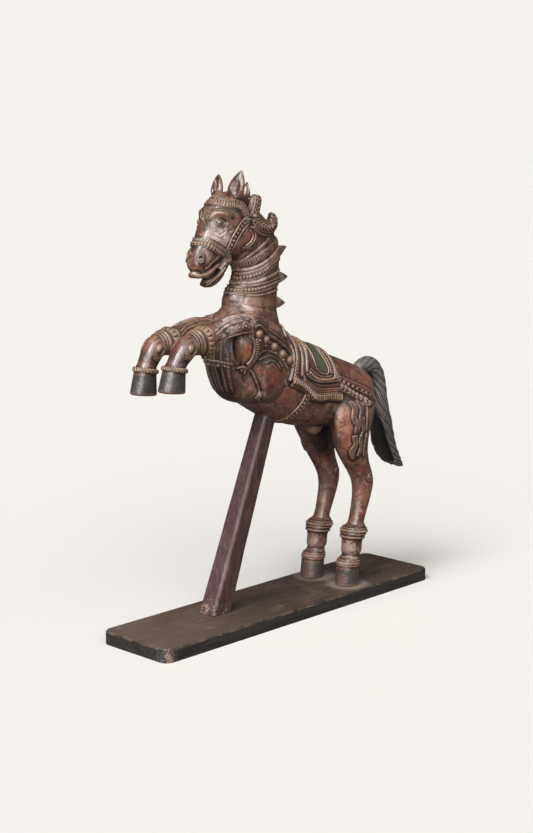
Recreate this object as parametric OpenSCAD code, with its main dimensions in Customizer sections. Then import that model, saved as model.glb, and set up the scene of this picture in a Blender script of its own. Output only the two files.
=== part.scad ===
// Rearing horse figurine, carved in hardwood and painted, on a plank base with a prop under the belly.
// Millimetres, +Z up. The origin is the centre of the base plank's underside.
// X runs along the plank, with the head at -X and the tail at +X. The horse's left side faces -Y.
// The horse is made of carved blocks that meet on flat faces and are held by glued dowels.

/* [Base plank] */
// Length of the plank along X
base_length = 730; // [700:1:760]
// Width of the plank along Y
base_width = 170; // [150:1:190]
// Thickness of the plank
base_thickness = 25; // [22:1:30]
// Radius of the plank's corners in plan
base_corner = 17; // [10:1:24]
// Width of the eased edge around the top
base_ease = 2.5; // [1:0.5:4]

/* [Prop post] */
// Length of the post's foot along X
post_foot_length = 47; // [42:1:52]
// Width of the post's foot along Y
post_foot_width = 41; // [36:1:46]
// Thickness of the post under the belly
post_top = 32; // [26:1:32]
// Width of the post's chamfers
post_chamfer = 4; // [2:0.5:5]
// Where the foot of the post stands along X
post_foot_x = -153; // [-160:1:-146]
// How far the foot of the post stands to the right of the middle
post_foot_y = 12; // [0:1:16]
// Where the post meets the belly along X
post_top_x = -32; // [-38:1:-30]

/* [Horse] */
// Half the width of the barrel
barrel_half = 60; // [56:1:63]
// Distance of each hind leg from the middle plane
stance = 43; // [41:1:45]
// Distance of each foreleg from the middle plane
fore_gap = 50; // [48:1:52]
// How far the left hind hoof stands ahead of the right one, along the stride
stride = 4; // [0:0.5:6]

/* [Joinery] */
// Diameter of the dowels in the neck
neck_dowel_d = 14; // [10:1:16]
// Diameter of the dowels in the head, shoulders, hips and tail
limb_dowel_d = 12; // [8:1:13]
// Diameter of the dowels at the knees
knee_dowel_d = 9; // [6:1:10]
// Diameter of the pegs in the ears, crest, bows and mane tufts
trim_peg_d = 5; // [4:0.5:6]
// Diameter of the screws that hold the plank
screw_d = 6; // [5:0.5:8]
// Length of the screws that hold the plank
screw_length = 55; // [45:1:60]

/* [Hidden] */
$fn = 48;

LEFT = -1;
RIGHT = 1;
BIG = 400;
SLICE = 0.01;

WOOD = "#6f4a3c";
BLACKENED = "#2c2728";
POST_WOOD = "#4a3236";
BASE_WOOD = "#3a322c";
DOWEL_WOOD = "#c9a26b";
STEEL = "#9a9a9a";

// ---- Sweeping rounded sections along a row of stations ----
// A station is [x, y, z, heading, toward, away, half_width, squareness].
// The section stands square to the heading, an angle in the XZ plane from +X toward +Z.
// "toward" and "away" are its half-heights on the two sides of the path.

function blend(a, b, c, d, t) =
  0.5 * (2 * b + (c - a) * t + (2 * a - 5 * b + 4 * c - d) * t * t + (3 * b - a - 3 * c + d) * t * t * t);

function refine(row, steps) = let (last = len(row) - 1) [
  for (i = [0 : last - 1], k = [0 : steps - 1])
    blend(row[max(i - 1, 0)], row[i], row[i + 1], row[min(i + 2, last)], k / steps),
  row[last]
];

function section(s, sides) = [
  for (i = [0 : sides - 1])
    let (
      a = 360 * i / sides,
      reach = pow(pow(abs(cos(a)), s[7]) + pow(abs(sin(a)), s[7]), -1 / s[7]),
      rise = sin(a) * reach * (sin(a) > 0 ? s[4] : s[5])
    )
    [s[0] - sin(s[3]) * rise, s[1] + cos(a) * reach * s[6], s[2] + cos(s[3]) * rise]
];

module sweep(row, sides = 20, steps = 3) {
  stations = refine(row, steps);
  last = len(stations) - 1;
  polyhedron(
    points = [for (s = stations) each section(s, sides)],
    faces = concat(
      [[for (i = [0 : sides - 1]) i]],
      [[for (i = [sides - 1 : -1 : 0]) last * sides + i]],
      [for (j = [0 : last - 1], i = [0 : sides - 1])
        let (a = j * sides + i, b = j * sides + (i + 1) % sides)
        each [[a, a + sides, b + sides], [a, b + sides, b]]]
    ),
    convexity = 8
  );
}

// Stations of an upright limb, given as [x, z, half_length, half_width] at a distance y.
function upright(rows, y, square = 2.2) =
  [for (r = rows) [r[0], y, r[1], -90, r[2], r[2], r[3], square]];

// A dowel centred on a point and pointing along a heading in the XZ plane.
module dowel(x, y, z, heading, d, length) {
  translate([x, y, z])
    rotate([0, 90 - heading, 0])
      cylinder(h = length, d = d, center = true);
}

// ---- The barrel's own frame: s runs toward the tail, p runs toward the back ----
TRUNK_PITCH = 22.7;
TRUNK_AXIS_Z = 453;
SEAT_P = 80;
HAUNCH_Z = 335;

function trunk_x(s, p) = s * cos(TRUNK_PITCH) + p * sin(TRUNK_PITCH);
function trunk_z(s, p) = TRUNK_AXIS_Z - s * sin(TRUNK_PITCH) + p * cos(TRUNK_PITCH);
function trunk_station(s, back, belly, half, square) = let (mid = (back + belly) / 2) [
  trunk_x(s, mid), 0, trunk_z(s, mid), -TRUNK_PITCH,
  (back - belly) / 2, (back - belly) / 2, half * barrel_half / 60, square
];

TRUNK = [
  trunk_station(-180, 62, 0, 22, 2.3),
  trunk_station(-175, 80, -20, 30, 2.4),
  trunk_station(-158, 92, -42, 40, 2.5),
  trunk_station(-132, 104, -66, 52, 2.5),
  trunk_station(-104, 104, -78, 59, 2.5),
  trunk_station(-72, 95, -74, 61, 2.4),
  trunk_station(-36, 80, -79, 60, 2.3),
  trunk_station(0, 75, -81, 60, 2.2),
  trunk_station(40, 77, -80, 59, 2.2),
  trunk_station(90, 78, -73, 58, 2.2),
  trunk_station(140, 81, -57, 58, 2.2),
  trunk_station(180, 83, -43, 58, 2.2),
  trunk_station(212, 82, -32, 56, 2.2),
  trunk_station(236, 74, -12, 46, 2.1),
  trunk_station(250, 56, 8, 28, 2)
];

// Rows of [x, z, half_length, half_width, outward distance] for the mass of the shoulder and haunch
SHOULDER = [[-96, 590, 12, 10, 42], [-104, 568, 28, 20, 42], [-114, 540, 33, 25, 43],
            [-126, 511, 26, 21, 43], [-136, 489, 9, 9, 44]];
HAUNCH = [[188, 428, 40, 18, 24], [184, 402, 52, 28, 31], [177, 372, 54, 32, 38],
          [168, 350, 50, 32, 42], [164, HAUNCH_Z, 46, 31, 43]];

function flank_row(rows, side, heading) =
  [for (r = rows) [r[0], side * r[4], r[1], heading, r[2], r[2], r[3], 2.2]];

// ---- Joint faces ----
NECK_SEAT_S = [-132, -78];
HEAD_FACE = [-87, 723];
HEAD_HEADING = 150;
ARM_HEADING = 190;
ARM_START_X = -128;
ARM_START_Z = [569, 555];
ARM_HALF_HEIGHT = 17;
ARM_HOUSING_Y = 31;
TAIL_ROOT = [232, 438];
TAIL_HEADING = 22;
// Diameter and depth of the flat spot on the rump that the tail is glued to
TAIL_SEAT = [34, 100];
POST_SINK = 4;

// ---- Prop post ----
// The post leans back to the belly and a little to the left, and its faces stay square to the plank.
POST_TOP_Z = trunk_z(0, -81) - (post_top_x - trunk_x(0, -81)) * tan(TRUNK_PITCH);
POST_RUN = [post_top_x - post_foot_x, -post_foot_y, POST_TOP_Z - base_thickness];
POST_LEAN = acos(POST_RUN[2] / norm(POST_RUN));
POST_YAW = atan2(POST_RUN[1], POST_RUN[0]);
POST_TENON = [limb_dowel_d + 4, 30];

module at_post_top() {
  translate([post_top_x, 0, POST_TOP_Z])
    rotate([0, POST_LEAN, POST_YAW])
      rotate([0, 0, -POST_YAW])
        children();
}

module chamfered(length, width) {
  linear_extrude(SLICE) {
    square([length - 2 * post_chamfer, width], center = true);
    square([length, width - 2 * post_chamfer], center = true);
  }
}

module post_shaft() {
  hull() {
    translate([post_foot_x, post_foot_y, base_thickness])
      chamfered(post_foot_length, post_foot_width);
    at_post_top()
      translate([0, 0, POST_SINK - SLICE])
        chamfered(post_top, post_top);
  }
}

module post_tenon() {
  at_post_top()
    cylinder(h = POST_TENON[1], d = POST_TENON[0]);
}

module prop_post() {
  color(POST_WOOD)
    difference() {
      union() {
        post_shaft();
        post_tenon();
      }
      screw_hole(SCREWS[2][0], SCREWS[2][1]);
    }
}

// ---- Base plank ----
HOOF_X = 154;
function hoof_x(side) = HOOF_X - side * stride;
SCREWS = [[hoof_x(LEFT), LEFT * stance], [hoof_x(RIGHT), RIGHT * stance], [post_foot_x + 5, post_foot_y]];
SCREW_HEAD_DEPTH = 4;
SCREW_INSET = 0.8;

module screw_body(x, y) {
  translate([x, y, SCREW_INSET])
    cylinder(h = screw_length - SCREW_INSET, d = screw_d);
  translate([x, y, SCREW_INSET])
    cylinder(h = SCREW_HEAD_DEPTH, d1 = 2 * screw_d, d2 = screw_d);
}

module screw_hole(x, y) {
  translate([x, y, -1])
    cylinder(h = screw_length + 1, d = screw_d);
}

module countersink(x, y) {
  translate([x, y, SCREW_INSET])
    cylinder(h = SCREW_HEAD_DEPTH, d1 = 2 * screw_d, d2 = screw_d);
  translate([x, y, -1])
    cylinder(h = 1 + SCREW_INSET, d = 2 * screw_d);
}

module plank_outline(inset) {
  square([base_length - 2 * inset, base_width - 2 * base_corner], center = true);
  square([base_length - 2 * base_corner, base_width - 2 * inset], center = true);
  for (x = [-1, 1], y = [-1, 1])
    translate([x * (base_length / 2 - base_corner), y * (base_width / 2 - base_corner)])
      circle(r = base_corner - inset);
}

module base_board() {
  color(BASE_WOOD)
    difference() {
      union() {
        linear_extrude(base_thickness - base_ease)
          plank_outline(0);
        translate([0, 0, base_thickness - base_ease])
          linear_extrude(base_ease)
            plank_outline(base_ease);
      }
      for (s = SCREWS) {
        screw_hole(s[0], s[1]);
        countersink(s[0], s[1]);
      }
    }
}

module base_screws() {
  color(STEEL)
    for (s = SCREWS)
      screw_body(s[0], s[1]);
}

// ---- Torso ----
module above_seat() {
  translate([trunk_x(0, SEAT_P), 0, trunk_z(0, SEAT_P)])
    rotate([0, TRUNK_PITCH, 0])
      translate([-BIG, -BIG, 0])
        cube(2 * BIG);
}

function arm_z(side) = ARM_START_Z[side == LEFT ? 0 : 1];

module arm_housing(side) {
  translate([ARM_START_X, side * (ARM_HOUSING_Y + BIG / 2), arm_z(side)])
    rotate([0, 180 - ARM_HEADING, 0])
      translate([-BIG / 2, 0, 0])
        cube([BIG, BIG, 2 * ARM_HALF_HEIGHT], center = true);
}

module torso() {
  color(WOOD)
    difference() {
      union() {
        sweep(TRUNK, 26, 2);
        for (side = [LEFT, RIGHT]) {
          sweep(flank_row(SHOULDER, side, -114), 16, 2);
          sweep(flank_row(HAUNCH, side, -90), 18, 2);
        }
      }
      above_seat();
      behind_tail_face();
      for (side = [LEFT, RIGHT])
        arm_housing(side);
      post_shaft();
      post_tenon();
      neck_dowels();
      shoulder_dowels();
      hip_dowels();
      tail_dowel();
    }
}

// ---- Neck ----
NECK = [
  [trunk_x(-104, SEAT_P), 0, trunk_z(-104, SEAT_P), 90 - TRUNK_PITCH, 72, 69, 40, 2.2],
  [-76, 0, 595, 76, 58, 68, 35, 2.1],
  [-68, 0, 622, 86, 54, 60, 33, 2.1],
  [-60, 0, 648, 95, 47, 57, 31, 2.1],
  [-57, 0, 676, 108, 52, 53, 33, 2.1],
  [-65, 0, 704, 130, 58, 50, 33, 2.2],
  [HEAD_FACE[0], 0, HEAD_FACE[1], HEAD_HEADING, 52, 50, 33, 2.3]
];

TUFTS = [[-7, 683, 27, 694], [-7, 638, 31, 638], [-12, 593, 24, 589]];
TUFT_HALF = 11.5;
TUFT_SOCKET = [25, 40];

module neck() {
  color(WOOD)
    difference() {
      sweep(NECK, 24, 3);
      neck_dowels();
      head_dowels();
      mane_pegs();
      for (t = TUFTS)
        translate([t[0], 0, t[1]])
          rotate([0, 90, 0])
            cylinder(h = TUFT_SOCKET[1], d = TUFT_SOCKET[0]);
    }
}

module neck_dowels() {
  color(DOWEL_WOOD)
    for (s = NECK_SEAT_S)
      dowel(trunk_x(s, SEAT_P), 0, trunk_z(s, SEAT_P), 90 - TRUNK_PITCH, neck_dowel_d, 90);
}

module head_dowels() {
  color(DOWEL_WOOD)
    for (k = [-22, 22])
      dowel(HEAD_FACE[0] + k * sin(HEAD_HEADING), 0, HEAD_FACE[1] - k * cos(HEAD_HEADING),
            HEAD_HEADING, limb_dowel_d, 60);
}

// One leaf-shaped tuft of the mane, given as [x, z, tip_x, tip_z]
module mane_tuft(t) {
  color(WOOD)
    difference() {
      sweep([
        [t[0], 0, t[1], 0, 11, 11, 8, 2],
        [t[0] + (t[2] - t[0]) * 0.3, 0, t[1] + (t[3] - t[1]) * 0.2, 0, TUFT_HALF, TUFT_HALF, 7.5, 2],
        [t[0] + (t[2] - t[0]) * 0.65, 0, t[1] + (t[3] - t[1]) * 0.6, 0, 7, 7, 5, 2],
        [t[2] - 1, 0, t[3], 0, 1, 1, 1, 2]
      ], 14, 2);
      mane_pegs();
    }
}

module mane_tuft_top() { mane_tuft(TUFTS[0]); }
module mane_tuft_middle() { mane_tuft(TUFTS[1]); }
module mane_tuft_lower() { mane_tuft(TUFTS[2]); }

module mane_pegs() {
  color(DOWEL_WOOD)
    for (t = TUFTS)
      dowel(t[0] - 4, 0, t[1], 0, trim_peg_d, 26);
}

// ---- Head ----
HEAD = [
  [HEAD_FACE[0], 0, HEAD_FACE[1], HEAD_HEADING, 52, 50, 33, 2.3],
  [-104, 0, 742, 172, 57, 55, 34, 2.3],
  [-124, 0, 742, 190, 58, 58, 35, 2.6],
  [-146, 0, 731, 208, 53, 54, 34, 2.6],
  [-164, 0, 717, 220, 40, 37, 30, 2.3],
  [-180, 0, 702, 224, 32, 28, 25, 2.3],
  [-193, 0, 690, 224, 27, 23, 23, 2.2],
  [-203, 0, 680, 224, 27, 19, 22, 2.1],
  [-210, 0, 671, 224, 22, 13, 18, 2],
  [-216, 0, 664, 224, 8, 7, 8, 2]
];
JAW = [
  [-140, 0, 688, 214, 10, 12, 23, 2.2],
  [-150, 0, 670, 220, 13, 10, 21, 2.2],
  [-163, 0, 657, 222, 14, 9, 18, 2.2],
  [-176, 0, 646, 224, 11, 8, 14, 2.1],
  [-187, 0, 638, 226, 6, 6, 9, 2.1],
  [-193, 0, 634, 226, 2, 2, 3, 2]
];
EAR_BASE = [-130, 24, 795];
EAR_YAW = 15;
EAR_HEIGHTS = [42, 34];
EAR_SINK = 6;
// Diameter and height of the flat-bottomed recess that each ear stands in
EAR_SEAT = [34, 30];
CREST = [-82, 786];

module ear_seat(side) {
  translate([EAR_BASE[0], side * EAR_BASE[1], EAR_BASE[2] - EAR_SINK])
    cylinder(h = EAR_SEAT[1], d = EAR_SEAT[0]);
}

module head() {
  color(WOOD)
    difference() {
      union() {
        sweep(HEAD, 24, 2);
        sweep(JAW, 16, 2);
      }
      head_dowels();
      ear_pegs();
      crest_peg();
      bow_pegs();
      for (side = [LEFT, RIGHT])
        ear_seat(side);
    }
}

EAR_PEG_LENGTH = 24;

module ear(side, height) {
  full = height + EAR_SINK;
  color(WOOD)
    translate([EAR_BASE[0], side * EAR_BASE[1], EAR_BASE[2] - EAR_SINK])
      difference() {
        rotate([0, 0, -side * EAR_YAW])
          sweep([
            [0, 0, 0, 90, 8, 8, 13, 2],
            [0, 0, full * 0.3, 90, 8.5, 8.5, 17, 2],
            [3, side * 2, full * 0.6, 90, 7, 7, 14, 2],
            [6, side * 5, full * 0.85, 90, 4.5, 4.5, 7, 2],
            [8, side * 7, full, 90, 1, 1, 1.2, 2]
          ], 16, 2);
        cylinder(h = EAR_PEG_LENGTH, d = trim_peg_d, center = true);
      }
}

module ear_left() { ear(LEFT, EAR_HEIGHTS[0]); }
module ear_right() { ear(RIGHT, EAR_HEIGHTS[1]); }

module ear_pegs() {
  color(DOWEL_WOOD)
    for (side = [LEFT, RIGHT])
      dowel(EAR_BASE[0], side * EAR_BASE[1], EAR_BASE[2] - EAR_SINK, 90, trim_peg_d, EAR_PEG_LENGTH);
}

module crest_leaf() {
  color(WOOD)
    difference() {
      sweep([
        [CREST[0], 0, CREST[1], 90, 9, 8, 9, 2],
        [CREST[0], 0, CREST[1] + 10, 90, 9.5, 9, 9, 2],
        [CREST[0] + 2, 0, CREST[1] + 20, 90, 6, 5, 6, 2],
        [CREST[0] + 5, 0, CREST[1] + 29, 90, 1, 1, 1, 2]
      ], 14, 2);
      crest_peg();
    }
}

module crest_peg() {
  color(DOWEL_WOOD)
    dowel(CREST[0], 0, CREST[1] - 4, 90, trim_peg_d, 28);
}

// The two loops of the headstall's bow, one standing up and one curling back, on each side
BOW_Y = 40;
BOW_ROOT = [-104, 756];

module bow(side) {
  color(WOOD)
    difference() {
      union() {
        sweep([
          [BOW_ROOT[0], side * BOW_Y, BOW_ROOT[1] - 2, 70, 8, 8, 7, 2.6],
          [-101, side * BOW_Y, 770, 78, 11, 11, 7.5, 2.8],
          [-97, side * BOW_Y, 785, 80, 12, 12, 7, 2.6],
          [-96, side * BOW_Y, 794, 80, 6, 6, 4, 2.2]
        ], 16, 2);
        sweep([
          [BOW_ROOT[0], side * BOW_Y, BOW_ROOT[1], -50, 9, 9, 7, 2.4],
          [-93, side * BOW_Y, 743, -42, 13, 12, 7.5, 2.4],
          [-76, side * BOW_Y, 735, -12, 15, 14, 8, 2.4],
          [-60, side * BOW_Y, 736, 28, 14, 14, 8, 2.3],
          [-53, side * BOW_Y, 749, 80, 9, 9, 7, 2.2],
          [-58, side * BOW_Y, 761, 110, 3, 3, 3, 2]
        ], 16, 2);
      }
      bow_pegs();
    }
}

module bow_left() { bow(LEFT); }
module bow_right() { bow(RIGHT); }

module bow_pegs() {
  color(DOWEL_WOOD)
    for (side = [LEFT, RIGHT])
      translate([BOW_ROOT[0], side * (BOW_Y - 8), BOW_ROOT[1]])
        rotate([90, 0, 0])
          cylinder(h = 26, d = trim_peg_d, center = true);
}

// ---- Forelegs ----
// The left knee is carried a little higher and further forward than the right one.
KNEE_LEFT = [-262, 545];
KNEE_RIGHT = [-249, 534];
// How far each hoof is carried forward of its knee and below it
REACH = [52, 40];
DROP = [81, 88];

function knee(side) = side == LEFT ? KNEE_LEFT : KNEE_RIGHT;

function arm_row(side) = let (k = knee(side), y = side * fore_gap) [
  [ARM_START_X, y, arm_z(side), ARM_HEADING, ARM_HALF_HEIGHT, ARM_HALF_HEIGHT, 18.5, 4],
  [-160, y, arm_z(side) - 1, ARM_HEADING, 19, 18, 18.5, 3.6],
  [-195, y, arm_z(side) - 6, ARM_HEADING, 18, 17, 17.5, 3.4],
  [k[0] + 33, y, k[1] + 7, ARM_HEADING, 18, 18, 18, 2.6],
  [k[0] + 26, y, k[1] + 2, ARM_HEADING, 23, 23, 22, 2.2],
  [k[0] + 16, y, k[1] + 1, ARM_HEADING, 23, 23, 22, 2.2]
];

function shank_row(side) = let (
  k = knee(side), y = side * fore_gap,
  f = REACH[side == LEFT ? 0 : 1], d = DROP[side == LEFT ? 0 : 1]
) [
  [k[0] + 16, y, k[1] + 1, ARM_HEADING, 23, 23, 22, 2.2],
  [k[0] + 4, y, k[1] + 1, ARM_HEADING + 4, 20, 20, 19.5, 2.2],
  [k[0] - 0.27 * f, y, k[1] - 0.05 * d, 216, 21, 19, 20, 2.2],
  [k[0] - 0.56 * f, y, k[1] - 0.23 * d, 235, 19, 18, 19, 2.2],
  [k[0] - 0.77 * f, y, k[1] - 0.41 * d, 250, 17, 17, 17, 2.2],
  [k[0] - 0.85 * f, y, k[1] - 0.5 * d, 258, 20, 20, 20, 2.2],
  [k[0] - 0.89 * f, y, k[1] - 0.6 * d, 262, 21, 21, 19, 2.3],
  [k[0] - f, y, k[1] - d, 264, 26, 26, 20, 2.4]
];

module foreleg_upper(side) {
  color(WOOD)
    difference() {
      sweep(arm_row(side), 20, 2);
      shoulder_dowels();
      knee_dowels();
    }
}

module foreleg_lower(side) {
  color(WOOD)
    difference() {
      sweep(shank_row(side), 20, 2);
      knee_dowels();
    }
}

module foreleg_left_upper() { foreleg_upper(LEFT); }
module foreleg_right_upper() { foreleg_upper(RIGHT); }
module foreleg_left_lower() { foreleg_lower(LEFT); }
module foreleg_right_lower() { foreleg_lower(RIGHT); }

// The shoulder dowels sit nearer the middle than the arms' own axes, where the torso is thickest.
SHOULDER_DOWEL_INSET = 7;
SHOULDER_DOWEL_LENGTH = 56;

module shoulder_dowels() {
  color(DOWEL_WOOD)
    for (side = [LEFT, RIGHT])
      dowel(ARM_START_X, side * (fore_gap - SHOULDER_DOWEL_INSET), arm_z(side) - 4,
            ARM_HEADING, limb_dowel_d, SHOULDER_DOWEL_LENGTH);
}

module knee_dowels() {
  color(DOWEL_WOOD)
    for (side = [LEFT, RIGHT])
      dowel(knee(side)[0] + 16, side * fore_gap, knee(side)[1] + 1, ARM_HEADING, knee_dowel_d, 36);
}

// ---- Hind legs ----
HIND = [
  [164, HAUNCH_Z, 46, 31], [164, 310, 40, 29], [169, 290, 34, 26.5], [179, 268, 29, 23.5],
  [191, 248, 27, 20.5], [199, 230, 25.5, 18.5], [200, 214, 23.5, 17.5], [197, 197, 21, 16.5],
  [191, 178, 18.5, 16], [185, 160, 16.5, 15.5], [179, 145, 16, 15.5],
  [176, 139, 23, 22], [174, 132, 26, 25], [172, 124, 26, 25], [170, 117, 22, 21],
  [168, 108, 20, 19.5], [167, 95, 20.5, 20], [165, 84, 19, 19],
  [159, 74, 21.5, 21.5], [156, 66, 22.5, 22], [155, 48, 23.5, 22], [154, base_thickness, 25, 22.5]
];

// The stride shifts each hoof along X, fading to nothing at the thigh's joint face.
function hind_rows(side) =
  [for (r = HIND) let (fade = (HAUNCH_Z - r[1]) / (HAUNCH_Z - base_thickness))
    [r[0] - side * stride * fade, r[1], r[2], r[3]]];

module hindleg(side) {
  color(WOOD)
    difference() {
      sweep(upright(hind_rows(side), side * stance), 18, 1);
      hip_dowels();
      screw_hole(hoof_x(side), side * stance);
    }
}

module hindleg_left() { hindleg(LEFT); }
module hindleg_right() { hindleg(RIGHT); }

module hip_dowels() {
  color(DOWEL_WOOD)
    for (side = [LEFT, RIGHT], x = [148, 180])
      dowel(x, side * stance, HAUNCH_Z, 90, limb_dowel_d, 64);
}

// ---- Tail ----
TAIL = [
  [TAIL_ROOT[0], 0, TAIL_ROOT[1], TAIL_HEADING, 14, 16, 14, 2.2],
  [250, 0, 445, 16, 17, 16, 15, 2.2],
  [272, 0, 444, -22, 18, 16, 16, 2.2],
  [290, 0, 424, -62, 16, 16, 17, 2.2],
  [297, 0, 396, -80, 15, 17, 18, 2.2],
  [301, 0, 362, -82, 17, 22, 20, 2.1],
  [310, 0, 325, -76, 22, 30, 20, 2],
  [320, 0, 292, -70, 24, 37, 17, 2],
  [336, 0, 262, -58, 20, 30, 13, 2],
  [356, 0, 241, -50, 13, 17, 9, 2],
  [380, 0, 222, -46, 3, 3, 3, 2]
];

module behind_tail_face() {
  translate([TAIL_ROOT[0], 0, TAIL_ROOT[1]])
    rotate([0, 90 - TAIL_HEADING, 0])
      cylinder(h = TAIL_SEAT[1], d = TAIL_SEAT[0]);
}

module tail() {
  color(BLACKENED)
    difference() {
      sweep(TAIL, 18, 2);
      tail_dowel();
    }
}

module tail_dowel() {
  color(DOWEL_WOOD)
    dowel(TAIL_ROOT[0], 0, TAIL_ROOT[1], TAIL_HEADING, limb_dowel_d, 44);
}

base_board();
prop_post();
torso();
neck();
head();
ear_left();
ear_right();
crest_leaf();
bow_left();
bow_right();
mane_tuft_top();
mane_tuft_middle();
mane_tuft_lower();
foreleg_left_upper();
foreleg_left_lower();
foreleg_right_upper();
foreleg_right_lower();
hindleg_left();
hindleg_right();
tail();
neck_dowels();
head_dowels();
ear_pegs();
crest_peg();
bow_pegs();
mane_pegs();
shoulder_dowels();
knee_dowels();
hip_dowels();
tail_dowel();
base_screws();
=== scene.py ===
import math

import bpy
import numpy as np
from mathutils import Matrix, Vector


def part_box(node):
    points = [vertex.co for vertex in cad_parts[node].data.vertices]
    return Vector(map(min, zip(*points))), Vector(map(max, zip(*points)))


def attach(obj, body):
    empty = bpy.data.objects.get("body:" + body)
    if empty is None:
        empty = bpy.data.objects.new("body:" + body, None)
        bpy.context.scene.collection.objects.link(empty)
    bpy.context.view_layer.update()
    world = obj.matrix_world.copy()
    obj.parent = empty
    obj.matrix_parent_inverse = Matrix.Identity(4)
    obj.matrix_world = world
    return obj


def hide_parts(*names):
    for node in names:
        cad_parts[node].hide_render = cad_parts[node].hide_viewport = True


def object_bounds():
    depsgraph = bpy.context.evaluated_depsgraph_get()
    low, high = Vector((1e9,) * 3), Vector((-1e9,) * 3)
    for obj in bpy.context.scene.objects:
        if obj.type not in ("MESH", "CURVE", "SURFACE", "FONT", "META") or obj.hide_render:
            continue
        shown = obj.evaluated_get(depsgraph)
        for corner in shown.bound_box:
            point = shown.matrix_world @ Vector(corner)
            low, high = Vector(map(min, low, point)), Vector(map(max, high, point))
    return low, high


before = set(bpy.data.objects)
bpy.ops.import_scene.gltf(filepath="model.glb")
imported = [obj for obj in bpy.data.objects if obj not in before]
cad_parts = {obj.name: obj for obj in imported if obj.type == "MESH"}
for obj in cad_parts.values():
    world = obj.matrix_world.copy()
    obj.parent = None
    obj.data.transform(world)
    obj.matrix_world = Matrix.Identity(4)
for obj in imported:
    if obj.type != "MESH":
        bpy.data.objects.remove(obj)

# A carved and painted wooden horse rearing over a plank base, held by a slanted prop under the belly.
# The CAD blocks are blended into one flowing body, carved further, and split again at their own joint
# faces, so that each block is still a piece of its own. Harness and saddle are then carved onto them.
# Lengths are millimetres in the CAD's frame until a mesh is made. The horse's left side faces -Y.

import openvdb
from mathutils import Matrix
from mathutils.bvhtree import BVHTree

CAD_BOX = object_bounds()
MM = 0.001
STEP = 2.0
FAR = 12.0
LEFT, RIGHT = -1, 1
SIDES = (LEFT, RIGHT)
# Paint colours, and how much of its gilding a gilded band keeps
RED = (0.20, 0.036, 0.022)
SALMON = (0.36, 0.135, 0.085)
GREEN = (0.062, 0.078, 0.044)
OCHRE = (0.42, 0.26, 0.12)
BLACK = (0.035, 0.033, 0.034)
SHADOW = (0.018, 0.011, 0.009)
# A pale grey brushed on as the sheen of light on the varnish: a painted highlight, not a paint of the object
PAINTED_SHEEN = (0.55, 0.45, 0.42)
GOLD = 0.8
# Each foreleg's knee as (x, z), how far its hoof lies ahead of the knee and below it, and its arm's height
KNEE = {LEFT: (-262, 545), RIGHT: (-249, 534)}
SHANK = {LEFT: (52, 81), RIGHT: (40, 88)}
ARM_Z = {LEFT: 569, RIGHT: 555}
FORE_GAP = 50
# The hind hooves' distance from the middle and their x, and the height where thigh meets hind leg
STANCE = 43
HIND_HOOF_X = 160
THIGH_JOINT = 330


# ---- Numbers: curves and noise ----

def smooth(t):
    """A soft step from 0 to 1 as t goes from 0 to 1."""
    t = np.clip(t, 0, 1)
    return t * t * (3 - 2 * t)


def spline(points, per=8, closed=False):
    """A Catmull-Rom curve through rows of numbers, with `per` samples to each span."""
    p = np.array(points, float)
    n = len(p)
    spans = n if closed else n - 1
    take = (lambda i: p[i % n]) if closed else (lambda i: p[min(max(i, 0), n - 1)])
    rows = []
    for i in range(spans):
        a, b, c, d = take(i - 1), take(i), take(i + 1), take(i + 2)
        for t in np.arange(per) / per:
            rows.append(0.5 * (2 * b + (c - a) * t + (2 * a - 5 * b + 4 * c - d) * t * t
                               + (3 * b - a - 3 * c + d) * t ** 3))
    if not closed:
        rows.append(p[-1])
    return np.array(rows)


def evenly(points, spacing, closed=False):
    """The same curve with its points an equal distance apart."""
    p = np.array(points, float)
    if closed:
        p = np.vstack([p, p[:1]])
    run = np.concatenate([[0], np.cumsum(np.linalg.norm(np.diff(p, axis=0), axis=1))])
    count = max(int(round(run[-1] / spacing)), 2)
    at = np.linspace(0, run[-1], count + 1)
    if closed:
        at = at[:-1]
    return np.stack([np.interp(at, run, p[:, k]) for k in range(p.shape[1])], 1), run[-1]


def unit(rows):
    """Vectors at length 1."""
    rows = np.asarray(rows, float)
    return rows / np.maximum(np.linalg.norm(rows, axis=-1, keepdims=True), 1e-9)


def lattice(points, seed, size):
    """Smooth value noise from -1 to 1 at points, with features about `size` across."""
    g = np.random.default_rng(seed).uniform(-1, 1, (32, 32, 32)).astype(np.float32)
    q = np.asarray(points, np.float32) / size + 1000
    i = np.floor(q).astype(int)
    f = q - i
    f = f * f * (3 - 2 * f)
    total = 0
    for dx in (0, 1):
        for dy in (0, 1):
            for dz in (0, 1):
                w = (f[:, 0] if dx else 1 - f[:, 0]) * (f[:, 1] if dy else 1 - f[:, 1])
                w = w * (f[:, 2] if dz else 1 - f[:, 2])
                total = total + w * g[(i[:, 0] + dx) % 32, (i[:, 1] + dy) % 32, (i[:, 2] + dz) % 32]
    return total


# ---- Fields: signed distance on a grid, negative inside ----

def soft_min(a, b, k):
    """The lesser of two fields, rounded over where they are within k of each other."""
    h = np.clip(k - np.abs(a - b), 0, None) / k
    return np.minimum(a, b) - h * h * k / 4


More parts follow.
